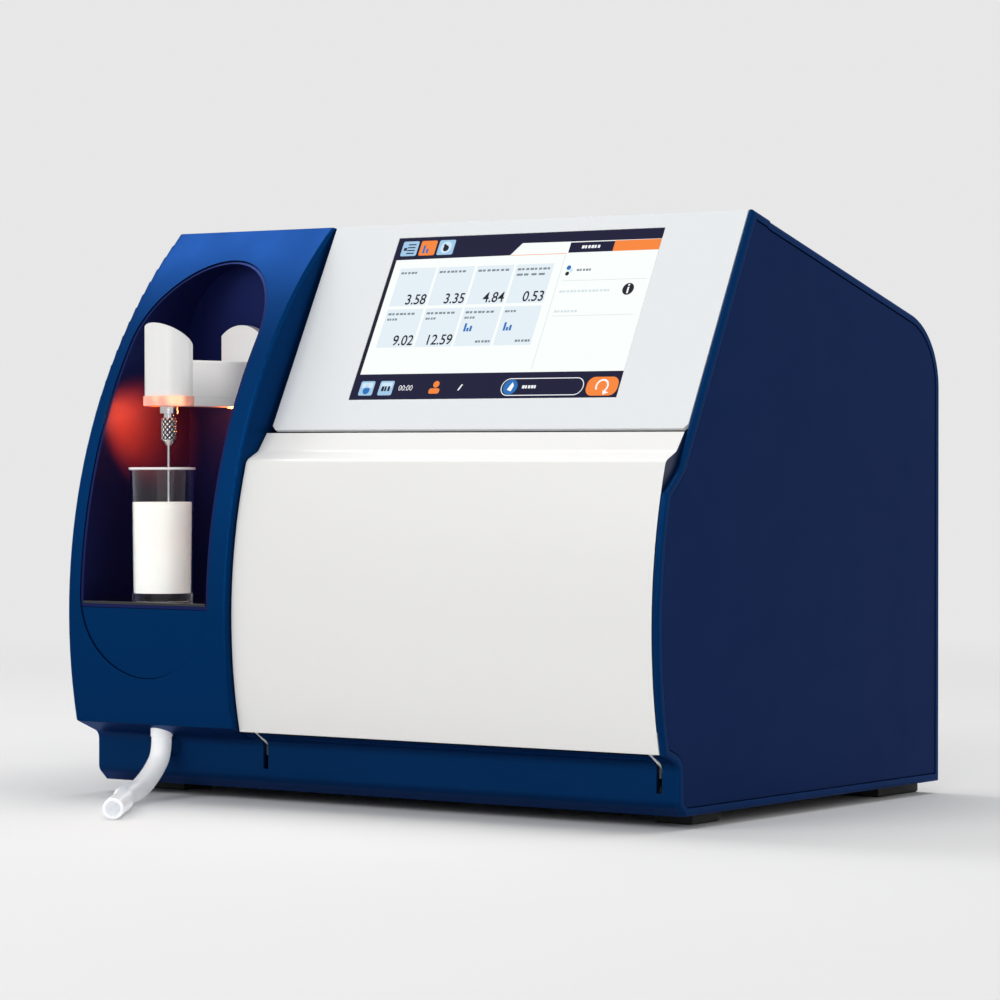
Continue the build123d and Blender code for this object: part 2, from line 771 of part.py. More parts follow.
# Base plate with posts for the optics and the main board
base_thick = 2.0
base_top_z = foot_height + base_thick
rear_thick = 2.0
rear_front_y = cover_back_y - 1.0 - rear_thick
post_radius = 5.0
standoff_radius = 3.0
optics_x = (bow_right_x + 16.0, side_x - 120.0)
optics_y = (bay_back_y + 24.0, back_y - 61.0)
optics_z = (84.0, 150.0)
board_x = (optics_x[0] + 20.0, optics_x[1] - 20.0)
board_y = (optics_y[0] + 18.0, optics_y[1] - 17.0)
board_z = 22.0
board_thick = 1.6
with BuildPart() as base_plate:
    block((-inner_x, inner_x), (plinth_back_y, rear_front_y), (foot_height, base_top_z))
    for post_x in (optics_x[0] + 8, optics_x[1] - 8):
        for post_y in (optics_y[0] + 8, optics_y[1] - 8):
            bar((post_x, post_y, base_top_z), post_radius, optics_z[0] - base_top_z)
    for post_x in (board_x[0] + 5, board_x[1] - 5):
        for post_y in (board_y[0] + 5, board_y[1] - 5):
            bar((post_x, post_y, base_top_z), standoff_radius, board_z - base_top_z)
keep(base_plate, "base_plate")

# Rubber feet
foot_x = (side_x - 42.3, side_x - 15.3)
front_foot_y = (front_y + 68.0, front_y + 98.0)
rear_foot_y = (back_y - 54.0, back_y - 2.0)
for foot_name, side in (("left", -1), ("right", 1)):
    for row_name, foot_y in (("front", front_foot_y), ("rear", rear_foot_y)):
        with BuildPart() as foot:
            block(tuple(sorted(side * x for x in foot_x)), foot_y, (0, foot_height))
            chamfer(foot.edges().group_by(Axis.Z)[0], 1.0)
        keep(foot, f"{row_name}_{foot_name}_foot")

# Rear panel with a round fan opening, vent slots and the power cut-out
fan_x = side_x - 110.0
fan_z = rear_cover_bottom_z - 77.0
fan_side = 80.0
fan_bore = 37.0
inlet_x = (40.0 - side_x, 96.0 - side_x)
inlet_z = (30.0, 64.0)
vent_count = 9
vent_pitch = 10.0
vent_width = 4.0
vent_x = (170.0 - side_x, 250.0 - side_x)
vent_low_z = 60.0
with BuildPart() as rear_panel:
    rear_y = (rear_front_y, rear_front_y + rear_thick)
    block((-inner_x, inner_x), rear_y, (foot_height, rear_cover_bottom_z - gap))
    bar((fan_x, rear_front_y - 1, fan_z), fan_bore, rear_thick + 2, "Y", Mode.SUBTRACT)
    block(inlet_x, (rear_y[0] - 1, rear_y[1] + 1), inlet_z, Mode.SUBTRACT)
    for number in range(vent_count):
        low = vent_low_z + number * vent_pitch
        block(vent_x, (rear_y[0] - 1, rear_y[1] + 1), (low, low + vent_width), Mode.SUBTRACT)
keep(rear_panel, "rear_panel")

# Fan: a square frame with struts and a shaft, and its bladed rotor
fan_depth = 25.0
strut_thick = 3.0
fan_shaft = 3.0
fan_hub = 14.0
blade_reach = 35.5
blade_count = 7
blade_thick = 1.6
blade_tilt = 35.0
fan_front_y = rear_front_y - fan_depth
with BuildPart() as fan_frame:
    half = fan_side / 2
    block((fan_x - half, fan_x + half), (fan_front_y, rear_front_y), (fan_z - half, fan_z + half))
    bar((fan_x, fan_front_y, fan_z), fan_bore, fan_depth, "Y", Mode.SUBTRACT)
    for strut_z in (fan_z - fan_hub + strut_thick, fan_z + fan_hub - strut_thick):
        strut_x = (fan_x - fan_bore - 1, fan_x + fan_bore + 1)
        strut_y = (fan_front_y, fan_front_y + strut_thick)
        block(strut_x, strut_y, (strut_z - strut_thick / 2, strut_z + strut_thick / 2))
    bar((fan_x, fan_front_y, fan_z), fan_hub, strut_thick, "Y")
    bar((fan_x, fan_front_y, fan_z), fan_shaft, fan_depth - strut_thick, "Y")
keep(fan_frame, "fan_frame")
with BuildPart() as fan_rotor:
    rotor_y = fan_front_y + strut_thick + 1.0
    rotor_depth = fan_depth - 2 * strut_thick
    bar((fan_x, rotor_y, fan_z), fan_hub, rotor_depth, "Y")
    with Locations(Location((fan_x, rotor_y + rotor_depth / 2, fan_z), (-90, 0, 0))):
        with PolarLocations(0, blade_count):
            blade_middle = (fan_hub - 1 + blade_reach) / 2
            with Locations(Location((blade_middle, 0, 0), (blade_tilt, 0, 0))):
                Box(blade_reach - fan_hub + 1, rotor_depth * 0.9, blade_thick)
    bar((fan_x, rotor_y, fan_z), fan_shaft + running, rotor_depth, "Y", Mode.SUBTRACT)
keep(fan_rotor, "fan_rotor")

# Power inlet module: a flange, a three-pin socket and a pocket for the rocker switch
module_flange = 1.4
module_rim = 4.0
module_depth = 26.0
socket_x = (inlet_x[0] + 5.0, inlet_x[0] + 27.0)
socket_z = (37.0, 57.0)
socket_depth = 18.0
switch_x = (inlet_x[1] - 20.0, inlet_x[1] - 6.0)
switch_z = (35.0, 59.0)
rocker_axis_y = back_y - 9.0
rocker_axis_z = (switch_z[0] + switch_z[1]) / 2
rocker_pin = 1.5
switch_depth = 15.0
with BuildPart() as power_inlet:
    module_back_y = rear_y[1] + module_flange
    block(inlet_x, (module_back_y - module_depth, module_back_y), inlet_z)
    rim_x = (inlet_x[0] - module_rim, inlet_x[1] + module_rim)
    rim_z = (inlet_z[0] - module_rim, inlet_z[1] + module_rim)
    block(rim_x, (rear_y[1], module_back_y), rim_z)
    block(socket_x, (module_back_y - socket_depth, module_back_y + 1), socket_z, Mode.SUBTRACT)
    block(switch_x, (module_back_y - switch_depth, module_back_y + 1), switch_z, Mode.SUBTRACT)
    socket_middle = ((socket_x[0] + socket_x[1]) / 2, (socket_z[0] + socket_z[1]) / 2)
    for pin_dx, pin_dz in ((-7, -2), (0, 2), (7, -2)):
        pin_start = (socket_middle[0] + pin_dx, module_back_y - socket_depth - 1, socket_middle[1] + pin_dz)
        bar(pin_start, 1.0, socket_depth - 2, "Y")
    bar((switch_x[0] - 1, rocker_axis_y, rocker_axis_z), rocker_pin, switch_x[1] - switch_x[0] + 2, "X")
keep(power_inlet, "power_inlet")

# Rocker of the power switch, on its pin
rocker_half = 10.2
rocker_face_y = back_y - 2.4
rocker_dip = 1.6
rocker_back_y = back_y - 11.5
rocker_side_gap = 0.5
with BuildPart() as switch_rocker:
    with BuildSketch(Plane.YZ.offset(switch_x[0] + rocker_side_gap)):
        with BuildLine():
            Polyline(
                (rocker_face_y, rocker_axis_z - rocker_half),
                (rocker_face_y - rocker_dip, rocker_axis_z),
                (rocker_face_y, rocker_axis_z + rocker_half),
                (rocker_back_y, rocker_axis_z + rocker_half * 0.6),
                (rocker_back_y, rocker_axis_z - rocker_half * 0.6),
                close=True,
            )
        make_face()
        with Locations((rocker_axis_y, rocker_axis_z)):
            Circle(rocker_pin + running, mode=Mode.SUBTRACT)
    extrude(amount=switch_x[1] - switch_x[0] - 2 * rocker_side_gap)
keep(switch_rocker, "switch_rocker")

# Optics housing on its posts, main board on its standoffs, power supply on the base
lid_step = 3.0
lid_thick = 4.0
fin_count = 12
fin_height = 6.0
fin_margin = 20.0
with BuildPart() as optics_housing:
    block(optics_x, optics_y, (optics_z[0], optics_z[1] - lid_thick))
    lid_x = (optics_x[0] + lid_step, optics_x[1] - lid_step)
    block(lid_x, (optics_y[0] + lid_step, optics_y[1] - lid_step), optics_z)
    fin_pitch = (lid_x[1] - lid_x[0] - 2 * fin_margin - lid_step) / (fin_count - 1)
    for number in range(fin_count):
        fin_x = lid_x[0] + fin_margin + number * fin_pitch
        fin_y = (optics_y[0] + fin_margin, optics_y[1] - fin_margin)
        block((fin_x, fin_x + lid_step), fin_y, (optics_z[1], optics_z[1] + fin_height))
keep(optics_housing, "optics_housing")
chip_sizes = ((24.0, 3.0), (14.0, 2.0), (14.0, 2.0))
chip_places = ((0.4, 0.53), (0.73, 0.32), (0.73, 0.68))
plug_count = 5
plug_width = 18.0
plug_depth = 8.0
plug_height = 9.0
plug_margin = 2.0
plug_pitch = 25.0
with BuildPart() as main_board:
    block(board_x, board_y, (board_z, board_z + board_thick))
    board_top = board_z + board_thick
    for (share_x, share_y), (chip_side, chip_tall) in zip(chip_places, chip_sizes):
        chip_x = board_x[0] + share_x * (board_x[1] - board_x[0])
        chip_y = board_y[0] + share_y * (board_y[1] - board_y[0])
        chip_half = chip_side / 2
        chip_ranges = ((chip_x - chip_half, chip_x + chip_half), (chip_y - chip_half, chip_y + chip_half))
        block(*chip_ranges, (board_top, board_top + chip_tall))
    plug_y = (board_y[1] - plug_margin - plug_depth, board_y[1] - plug_margin)
    first_plug_x = (board_x[0] + board_x[1] - (plug_count - 1) * plug_pitch - plug_width) / 2
    for number in range(plug_count):
        plug_x = first_plug_x + number * plug_pitch
        block((plug_x, plug_x + plug_width), plug_y, (board_top, board_top + plug_height))
keep(main_board, "main_board")
supply_x = (side_x - 112.0, side_x - 16.0)
supply_y = (bay_back_y + 52.0, back_y - 43.0)
supply_top_z = 52.0
slit_count = 8
slit_width = 3.0
slit_end_margin = 12.0
slit_side_margin = 15.0
slit_depth = 1.0
with BuildPart() as power_supply:
    block(supply_x, supply_y, (base_top_z, supply_top_z))
    slit_pitch = (supply_y[1] - supply_y[0] - 2 * slit_end_margin - slit_width) / (slit_count - 1)
    slit_x = (supply_x[0] + slit_side_margin, supply_x[1] - slit_side_margin)
    slit_z = (supply_top_z - slit_depth, supply_top_z + 1)
    for number in range(slit_count):
        slit_low = supply_y[0] + slit_end_margin + number * slit_pitch
        block(slit_x, (slit_low, slit_low + slit_width), slit_z, Mode.SUBTRACT)
keep(power_supply, "power_supply")

# Lift behind the niche: bearing blocks, guide rods and motor on the niche's back
block_front_y = niche_back_y + niche_wall
block_back_y = rod_y + motor_side * 0.4
bearing_x = (head_x - bearing_width / 2, head_x + bearing_width / 2)
rod_x = (head_x - rod_spacing / 2, head_x + rod_spacing / 2)
for name, low in (("lower_bearing_block", bearing_low_z), ("upper_bearing_block", bearing_high_z)):
    with BuildPart() as bearing:
        block(bearing_x, (block_front_y, block_back_y), (low, low + bearing_thick))
        bar((head_x, rod_y, low - 1), screw_radius + running, bearing_thick + 2, "Z", Mode.SUBTRACT)
        for x in rod_x:
            bar((x, rod_y, low - 1), rod_radius, bearing_thick + 2, "Z", Mode.SUBTRACT)
    keep(bearing, name)
for name, x in zip(("left_guide_rod", "right_guide_rod"), rod_x):
    with BuildPart() as rod:
        bar((x, rod_y, bearing_low_z), rod_radius, bearing_high_z + bearing_thick - bearing_low_z)
    keep(rod, name)
with BuildPart() as lift_motor:
    half = motor_side / 2
    motor_z = (bearing_low_z - motor_height, bearing_low_z)
    block((head_x - half, head_x + half), (rod_y - half, rod_y + half), motor_z)
    chamfer(lift_motor.edges().filter_by(Axis.Z), 4.0)
keep(lift_motor, "lift_motor")
with BuildPart() as lift_screw:
    screw_low = bearing_low_z + gap
    bar((head_x, rod_y, screw_low), screw_radius, bearing_high_z + bearing_thick - gap - screw_low)
keep(lift_screw, "lift_screw")

# Lift carriage: slides on the rods; its stem passes the slot and carries the rear shield
with BuildPart() as lift_carriage:
    half = carriage_width / 2
    carriage_y = (rod_y - carriage_depth / 2, rod_y + carriage_depth / 2)
    carriage_z = (carriage_bottom_z, carriage_bottom_z + carriage_height)
    block((head_x - half, head_x + half), carriage_y, carriage_z)
    for x, radius in ((rod_x[0], rod_radius), (rod_x[1], rod_radius), (head_x, screw_radius)):
        bar((x, rod_y, carriage_bottom_z - 1), radius + running, carriage_height + 2, "Z", Mode.SUBTRACT)
    stem_x = (head_x - stem_width / 2, head_x + stem_width / 2)
    stem_z = (carriage_bottom_z, carriage_bottom_z + stem_height)
    block(stem_x, (shield_front_y + shield_thick, carriage_y[0]), stem_z)
keep(lift_carriage, "lift_carriage")

# Rear shield: an arch-topped plate behind the arm
with BuildPart() as rear_shield:
    with BuildSketch(Plane.XZ.offset(-shield_front_y - shield_thick)):
        with BuildLine():
            half = shield_width / 2
            Polyline(
                (head_x - half, shield_shoulder_z),
                (head_x - half, arm_bottom_z),
                (head_x + half, arm_bottom_z),
                (head_x + half, shield_shoulder_z),
            )
            ThreePointArc(
                (head_x + half, shield_shoulder_z),
                (head_x, shield_top_z),
                (head_x - half, shield_shoulder_z),
            )
        make_face()
    extrude(amount=shield_thick)
keep(rear_shield, "rear_shield")

# Pipette column with a slanted top, and the light ring below it
with BuildPart() as pipette_column:
    bar((head_x, head_y, column_bottom_z), column_radius, column_top_z - column_bottom_z)
    with BuildSketch(Plane.YZ.offset(head_x - column_radius)):
        crest_y = head_y - column_radius
        fall = 2 * column_radius * tan(radians(column_cut))
        with BuildLine():
            Polyline(
                (crest_y, column_top_z),
                (crest_y + 2 * column_radius, column_top_z - fall),
                (crest_y + 2 * column_radius, column_top_z),
                close=True,
            )
        make_face()
    extrude(amount=2 * column_radius, mode=Mode.SUBTRACT)
keep(pipette_column, "pipette_column")
with BuildPart() as light_ring:
    bar((head_x, head_y, arm_bottom_z), ring_radius, ring_height)
    fillet(light_ring.edges().group_by(Axis.Z)[0], 0.8)
keep(light_ring, "light_ring")


def arm_face(plane):
    """Plan view of the arm: straight sides that flare out to the rear shield."""
    flare_y = shield_front_y - 16.0
    half = arm_width / 2
    wide = shield_width / 2
    with BuildSketch(plane) as face:
        with BuildLine():
            Polyline(
                (head_x - half, flare_y),
                (head_x - half, head_y),
                (head_x + half, head_y),
                (head_x + half, flare_y),
            )
            TangentArc((head_x + half, flare_y), (head_x + wide, shield_front_y), tangent=(0, 1))
            Line((head_x + wide, shield_front_y), (head_x - wide, shield_front_y))
            TangentArc((head_x - half, flare_y), (head_x - wide, shield_front_y), tangent=(0, 1))
        make_face()
    return face.sketch


# Arm: an upper shell and a lower cover that meet at a split line
with BuildPart() as arm_shell:
    extrude(arm_face(Plane.XY.offset(arm_split_z)), amount=arm_top_z - arm_split_z)
    fillet(arm_shell.faces().sort_by(Axis.Z)[-1].edges().filter_by(Axis.Y), 2.0)
    bar((head_x, head_y, arm_split_z), column_radius, height, "Z", Mode.SUBTRACT)
    bar((head_x, head_y, arm_split_z), ring_radius, column_bottom_z - arm_split_z, "Z", Mode.SUBTRACT)
keep(arm_shell, "arm_shell")
with BuildPart() as arm_cover:
    extrude(arm_face(Plane.XY.offset(arm_bottom_z)), amount=arm_split_z - arm_bottom_z)
    bar((head_x, head_y, arm_bottom_z), ring_radius, height, "Z", Mode.SUBTRACT)
    bar((head_x, led_y, arm_bottom_z), led_radius, 3.0, "Z", Mode.SUBTRACT)
keep(arm_cover, "arm_cover")
with BuildPart() as status_lens:
    bar((head_x, led_y, arm_bottom_z - 1.0), led_radius, 4.0)
    fillet(status_lens.edges().group_by(Axis.Z)[0], 0.8)
keep(status_lens, "status_lens")

# Needle fitting: collar and neck, knurled nut with a taper, hollow needle
with BuildPart() as needle_collar:
    collar_z = arm_bottom_z - collar_height
    bar((head_x, head_y, collar_z), collar_radius, collar_height)
    bar((head_x, head_y, collar_z - neck_height), neck_radius, neck_height)
keep(needle_collar, "needle_collar")
nut_top_z = arm_bottom_z - collar_height - neck_height
nut_bottom_z = nut_top_z - nut_height
taper_end = needle_radius + 1.0
with BuildPart() as knurled_nut:
    bar((head_x, head_y, nut_bottom_z), nut_radius, nut_height)
    with Locations((head_x, head_y, nut_bottom_z)):
        Cone(taper_end, nut_radius, nut_taper, align=(Align.CENTER, Align.CENTER, Align.MAX))
    bore_z = nut_bottom_z - nut_taper - 1
    bar((head_x, head_y, bore_z), needle_radius, nut_height + nut_taper, "Z", Mode.SUBTRACT)
keep(knurled_nut, "knurled_nut")
with BuildPart() as needle:
    bar((head_x, head_y, needle_tip_z), needle_radius, nut_top_z - 1 - needle_tip_z)
    bar((head_x, head_y, needle_tip_z), needle_bore, nut_top_z - 1 - needle_tip_z, "Z", Mode.SUBTRACT)
keep(needle, "needle")

# Sample cup: a slightly tapered clear beaker, standing just above the shelf
cup_top_z = cup_z + cup_height


def cup_radius(z):
    """Outer radius of the cup at a height."""
    return cup_foot_radius + (cup_lip_radius - cup_foot_radius) * (z - cup_z) / cup_height


with BuildPart() as sample_cup:
    with BuildSketch(Plane.XZ.offset(-cup_y)):
        with BuildLine():
            Polyline(
                (cup_x, cup_z),
                (cup_x + cup_foot_radius, cup_z),
                (cup_x + cup_lip_radius, cup_top_z - 2 * cup_bead),
                (cup_x + cup_lip_radius + cup_bead, cup_top_z - 2 * cup_bead),
                (cup_x + cup_lip_radius + cup_bead, cup_top_z),
                (cup_x + cup_lip_radius - cup_wall, cup_top_z),
                (cup_x + cup_radius(cup_z + cup_base) - cup_wall, cup_z + cup_base),
                (cup_x, cup_z + cup_base),
                close=True,
            )
        make_face()
    revolve(axis=Axis((cup_x, cup_y, 0), (0, 0, 1)))
keep(sample_cup, "sample_cup")

# Milk in the cup, hollow along the needle's path
needle_path = 1.6
with BuildPart() as milk_sample:
    with BuildSketch(Plane.XZ.offset(-cup_y)):
        with BuildLine():
            Polyline(
                (cup_x, cup_z + cup_base),
                (cup_x + cup_radius(cup_z + cup_base) - cup_wall - milk_gap, cup_z + cup_base),
                (cup_x + cup_radius(milk_level_z) - cup_wall - milk_gap, milk_level_z),
                (cup_x, milk_level_z),
                close=True,
            )
        make_face()
    revolve(axis=Axis((cup_x, cup_y, 0), (0, 0, 1)))
    path_low_z = needle_tip_z - lift_travel - 2 * gap
    bar((head_x, head_y, path_low_z), needle_path, height, "Z", Mode.SUBTRACT)
keep(milk_sample, "milk_sample")

# Drain spigot through the lip, and the hose that hangs from it onto the bench
hose_radius = 6.65
hose_bore = 4.6
spigot_bore = 4.0
with BuildPart() as drain_spigot:
    bar((spigot_x, spigot_y, spigot_bottom_z), spigot_radius, spigot_top_z - spigot_bottom_z)
    bar((spigot_x, spigot_y, spigot_bottom_z), spigot_bore, spigot_top_z - spigot_bottom_z, "Z", Mode.SUBTRACT)
keep(drain_spigot, "drain_spigot")
hose_rest_z = hose_radius + 0.15
hose_route = (
    (0.0, 0.0, spigot_bottom_z),
    (0.0, 0.0, 29.0),
    (-0.2, -6.7, 19.0),
    (2.0, -18.7, 11.0),
    (7.0, -33.0, hose_rest_z),
    (21.0, -62.2, hose_rest_z),
    (45.0, -88.2, hose_rest_z),
    (63.0, -116.7, hose_rest_z),
    (75.5, -133.2, hose_rest_z),
)
hose_points = [Vector(spigot_x + across, spigot_y + ahead, up) for across, ahead, up in hose_route]
hose_radii = []
for before, corner, after in zip(hose_points, hose_points[1:], hose_points[2:]):
    half_turn = radians((corner - before).get_angle(after - corner)) / 2
    run = min((corner - before).length, (after - corner).length)
    hose_radii.append(round(0.45 * run / tan(half_turn), 1))
print("hose radii", hose_radii)
with BuildPart() as drain_hose:
    with BuildLine() as route:
        FilletPolyline(*hose_points, radius=hose_radii)
    with BuildSketch(Plane(origin=hose_points[0], z_dir=hose_points[1] - hose_points[0])):
        Circle(hose_radius)
        Circle(hose_bore, mode=Mode.SUBTRACT)
    sweep(path=route.line)
hose_length = sum(edge.length for edge in route.edges())
print("hose length", round(hose_length, 1))
section = 3.14159 * (hose_radius**2 - hose_bore**2)
print("hose volume", round(drain_hose.part.volume), "expected", round(section * hose_length))
keep(drain_hose, "drain_hose")
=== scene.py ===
import json
import math

import bmesh
import bpy
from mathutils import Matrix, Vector

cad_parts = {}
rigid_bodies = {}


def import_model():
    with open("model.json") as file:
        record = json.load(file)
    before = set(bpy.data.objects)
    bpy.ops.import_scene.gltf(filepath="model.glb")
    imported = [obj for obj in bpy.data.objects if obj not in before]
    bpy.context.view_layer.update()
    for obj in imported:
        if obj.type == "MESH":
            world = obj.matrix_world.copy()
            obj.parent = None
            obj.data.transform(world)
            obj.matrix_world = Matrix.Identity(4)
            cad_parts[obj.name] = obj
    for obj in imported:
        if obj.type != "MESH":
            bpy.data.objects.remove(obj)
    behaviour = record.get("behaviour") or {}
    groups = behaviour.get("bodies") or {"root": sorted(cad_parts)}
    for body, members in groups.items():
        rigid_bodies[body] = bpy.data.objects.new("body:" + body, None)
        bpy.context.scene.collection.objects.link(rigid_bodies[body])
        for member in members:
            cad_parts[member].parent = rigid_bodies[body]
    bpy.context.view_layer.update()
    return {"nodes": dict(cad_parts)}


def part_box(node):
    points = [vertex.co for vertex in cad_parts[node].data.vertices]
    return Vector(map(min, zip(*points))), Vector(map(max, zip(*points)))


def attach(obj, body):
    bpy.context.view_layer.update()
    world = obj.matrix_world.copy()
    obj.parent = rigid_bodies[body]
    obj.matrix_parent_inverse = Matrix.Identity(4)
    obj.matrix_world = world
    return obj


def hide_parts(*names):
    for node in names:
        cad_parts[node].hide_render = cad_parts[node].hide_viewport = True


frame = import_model()
nodes = frame["nodes"]
MM = 0.001

# Camera, fitted to the photo
CAMERA_PLACE = (1.4522, -2.0295, 0.2263)
CAMERA_DIP = math.radians(0.743)
CAMERA_TURN = math.radians(35.657)
camera_data = bpy.data.cameras.new("camera")
camera_data.lens = 136.2
camera_data.sensor_width = 36.0
camera_data.clip_start = 0.05
camera_data.clip_end = 60.0
camera = bpy.data.objects.new("camera", camera_data)
camera.location = CAMERA_PLACE
camera.rotation_euler = (math.pi / 2 - CAMERA_DIP, 0.0, CAMERA_TURN)
bpy.context.scene.collection.objects.link(camera)
bpy.context.scene.camera = camera


# Shader nodes
def add_node(tree, kind, **values):
    """A new node. Each value goes to the node's setting of that name, or else to its input."""
    made = tree.nodes.new(kind)
    for key, value in values.items():
        if hasattr(made, key):
            setattr(made, key, value)
        else:
            made.inputs[key.replace("_", " ")].default_value = value
    return made


def map_range(tree, source, from_range, to_range=(0.0, 1.0), **values):
    """The source's value, moved from one range to another."""
    made = add_node(tree, "ShaderNodeMapRange", **values)
    for side, limits in (("From", from_range), ("To", to_range)):
        made.inputs[side + " Min"].default_value = limits[0]
        made.inputs[side + " Max"].default_value = limits[1]
    tree.links.new(source, made.inputs["Value"])
    return made.outputs["Result"]


def combine(tree, operation, first, second):
    """Math on a socket and either another socket or a number."""
    made = add_node(tree, "ShaderNodeMath", operation=operation)
    tree.links.new(first, made.inputs[0])
    if isinstance(second, float):
        made.inputs[1].default_value = second
    else:
        tree.links.new(second, made.inputs[1])
    return made.outputs[0]


def axis(tree, source, name):
    """One component of a vector."""
    made = add_node(tree, "ShaderNodeSeparateXYZ")
    tree.links.new(source, made.inputs[0])
    return made.outputs[name]


def seen_directly(tree):
    """1 for camera, glossy and transmission rays, 0 for the light that surfaces pass on."""
    ray = add_node(tree, "ShaderNodeLightPath")
    seen = ray.outputs["Is Camera Ray"]
    for kind in ("Is Glossy Ray", "Is Transmission Ray"):
        seen = combine(tree, "MAXIMUM", seen, ray.outputs[kind])
    return seen


class Shader:
    """A procedural material: one Principled shader and the textures that feed it."""

    def __init__(self, name, color, roughness, metallic=0.0, **sockets):
        self.material = bpy.data.materials.new(name)
        self.material.use_nodes = True
        self.tree = self.material.node_tree
        self.shader = next(n for n in self.tree.nodes if n.type == "BSDF_PRINCIPLED")
        self.color = tuple(color)
        self.roughness = roughness
        self.coords = add_node(self.tree, "ShaderNodeTexCoord")
        self.normal = None
        self.fixed("Base Color", (*self.color, 1.0))
        self.fixed("Roughness", roughness)
        self.fixed("Metallic", metallic)
        for socket, value in sockets.items():
            self.fixed(socket.replace("_", " "), value)

    def fixed(self, socket, value):
        self.shader.inputs[socket].default_value = value

    def feed(self, socket, source):
        self.tree.links.new(source, self.shader.inputs[socket])

    def noise(self, scale, detail):
        texture = add_node(self.tree, "ShaderNodeTexNoise", Scale=scale, Detail=detail, Roughness=0.55)
        self.tree.links.new(self.coords.outputs["Object"], texture.inputs["Vector"])
        return texture.outputs["Fac"]

    def vary_color(self, scale, amount):
        ramp = add_node(self.tree, "ShaderNodeValToRGB")
        for element, place, share in zip(ramp.color_ramp.elements, (0.3, 0.7), (1 - amount, 1 + amount)):
            element.position = place
            element.color = (*[min(1.0, c * share) for c in self.color], 1)
        self.tree.links.new(self.noise(scale, 4.0), ramp.inputs["Fac"])
        self.feed("Base Color", ramp.outputs["Color"])
        return self

    def vary_roughness(self, scale, amount):
        limits = (max(0.02, self.roughness - amount), min(1.0, self.roughness + amount))
        self.feed("Roughness", map_range(self.tree, self.noise(scale, 5.0), (0.3, 0.7), limits))
        return self

    def round_edges(self, radius):
        """Rounds the look of edges, by a radius in mm."""
        bevel = add_node(self.tree, "ShaderNodeBevel", samples=4, Radius=radius * MM)
        self.normal = bevel.outputs["Normal"]
        self.feed("Normal", self.normal)
        return self

    def grain(self, scale, strength, distance=0.05):
        """Fine bumps, up to a distance in mm."""
        bump = add_node(self.tree, "ShaderNodeBump", Strength=strength, Distance=distance * MM)
        self.tree.links.new(self.noise(scale, 2.0), bump.inputs["Height"])
        if self.normal is not None:
            self.tree.links.new(self.normal, bump.inputs["Normal"])
        self.feed("Normal", bump.outputs["Normal"])
        return self

    def emit(self, color, strength):
        self.fixed("Emission Color", (*color, 1))
        self.fixed("Emission Strength", strength)
        return self


def plastic(name, color, roughness, edge, grain, scale, vary, uneven=0.05, **sockets):
    """Edge is a rounding in mm, grain and scale make bumps, vary and uneven make spots of tone and gloss."""
    made = Shader(name, color, roughness, **sockets)
    return made.vary_color(7.0, vary).vary_roughness(30.0, uneven).round_edges(edge).grain(scale, grain)


def metal(name, color, roughness, grain=0.1):
    made = Shader(name, color, roughness, 1.0)
    return made.vary_color(40.0, 0.05).vary_roughness(60.0, 0.07).round_edges(0.2).grain(900.0, grain, 0.03)


def lit(name, color, strength):
    """A part of the screen, which gives off its own colour."""
    unlit_share = 0.04
    made = Shader(name, [c * unlit_share for c in color], 0.12, IOR=1.25)
    return made.emit(color, strength).vary_roughness(12.0, 0.03)


# Plastics and metals
SATIN_BLUE = {"Specular_Tint": (0.03, 0.48, 1.0, 1.0), "Metallic": 0.55, "IOR": 1.3}
GLOSS_BLUE = {"Specular_Tint": (0.02, 0.55, 1.0, 1.0), "Metallic": 0.8, "IOR": 1.25}
bow_navy = plastic("bow_navy", (0.001, 0.026, 0.105), 0.40, 0.6, 0.2, 1500.0, 0.05, 0.03, **GLOSS_BLUE)
navy = plastic("navy_plastic", (0.001, 0.021, 0.088), 0.42, 0.6, 0.2, 1500.0, 0.05, 0.03, **SATIN_BLUE)
navy_sheet = plastic("navy_sheet", (0.001, 0.012, 0.062), 0.46, 0.3, 0.2, 1100.0, 0.05, 0.03, **SATIN_BLUE)
niche_navy = plastic("niche_navy", (0.0115, 0.014, 0.08), 0.38, 0.5, 0.18, 1500.0, 0.06, 0.03, **SATIN_BLUE)
shelf_black = plastic("shelf_black", (0.006, 0.007, 0.012), 0.12, 0.4, 0.03, 400.0, 0.1)
white = plastic("white_panel", (0.76, 0.785, 0.80), 0.34, 0.5, 0.03, 700.0, 0.004, 0.006)
door_white = plastic("door_white", (0.80, 0.795, 0.78), 0.36, 0.7, 0.04, 700.0, 0.004, 0.006)
head_white = plastic("head_white", (0.84, 0.835, 0.825), 0.28, 0.6, 0.02, 700.0, 0.004, 0.006)
grey = plastic("grey_plastic", (0.42, 0.44, 0.47), 0.45, 0.5, 0.2, 1200.0, 0.05)
black = plastic("black_plastic", (0.012, 0.012, 0.014), 0.38, 0.4, 0.2, 1200.0, 0.12)
rubber = plastic("foot_rubber", (0.012, 0.012, 0.013), 0.7, 0.5, 0.5, 900.0, 0.15)
sheet_metal = plastic("painted_sheet", (0.16, 0.165, 0.18), 0.5, 0.3, 0.45, 900.0, 0.06)
bottle = plastic("bottle_plastic", (0.72, 0.75, 0.76), 0.35, 0.5, 0.1, 500.0, 0.03, Subsurface_Weight=0.3)
board_green = plastic("board_green", (0.01, 0.09, 0.035), 0.3, 0.2, 0.2, 2500.0, 0.2)
milk = plastic("milk", (0.90, 0.87, 0.83), 0.2, 0.8, 0.02, 200.0, 0.01, Subsurface_Weight=0.3)
# Painted light: the milk gives off a faint glow, standing in for the light that the glass cup keeps off it
milk.emit((1.0, 0.95, 0.90), 0.32)
steel = metal("steel", (0.55, 0.55, 0.57), 0.2)
# A darker steel, used only as painted shade in the knurled nut's grooves
steel_groove_shade = metal("steel_groove_shade", (0.035, 0.034, 0.04), 0.35)
aluminium = metal("cast_aluminium", (0.62, 0.63, 0.65), 0.38, grain=0.4)

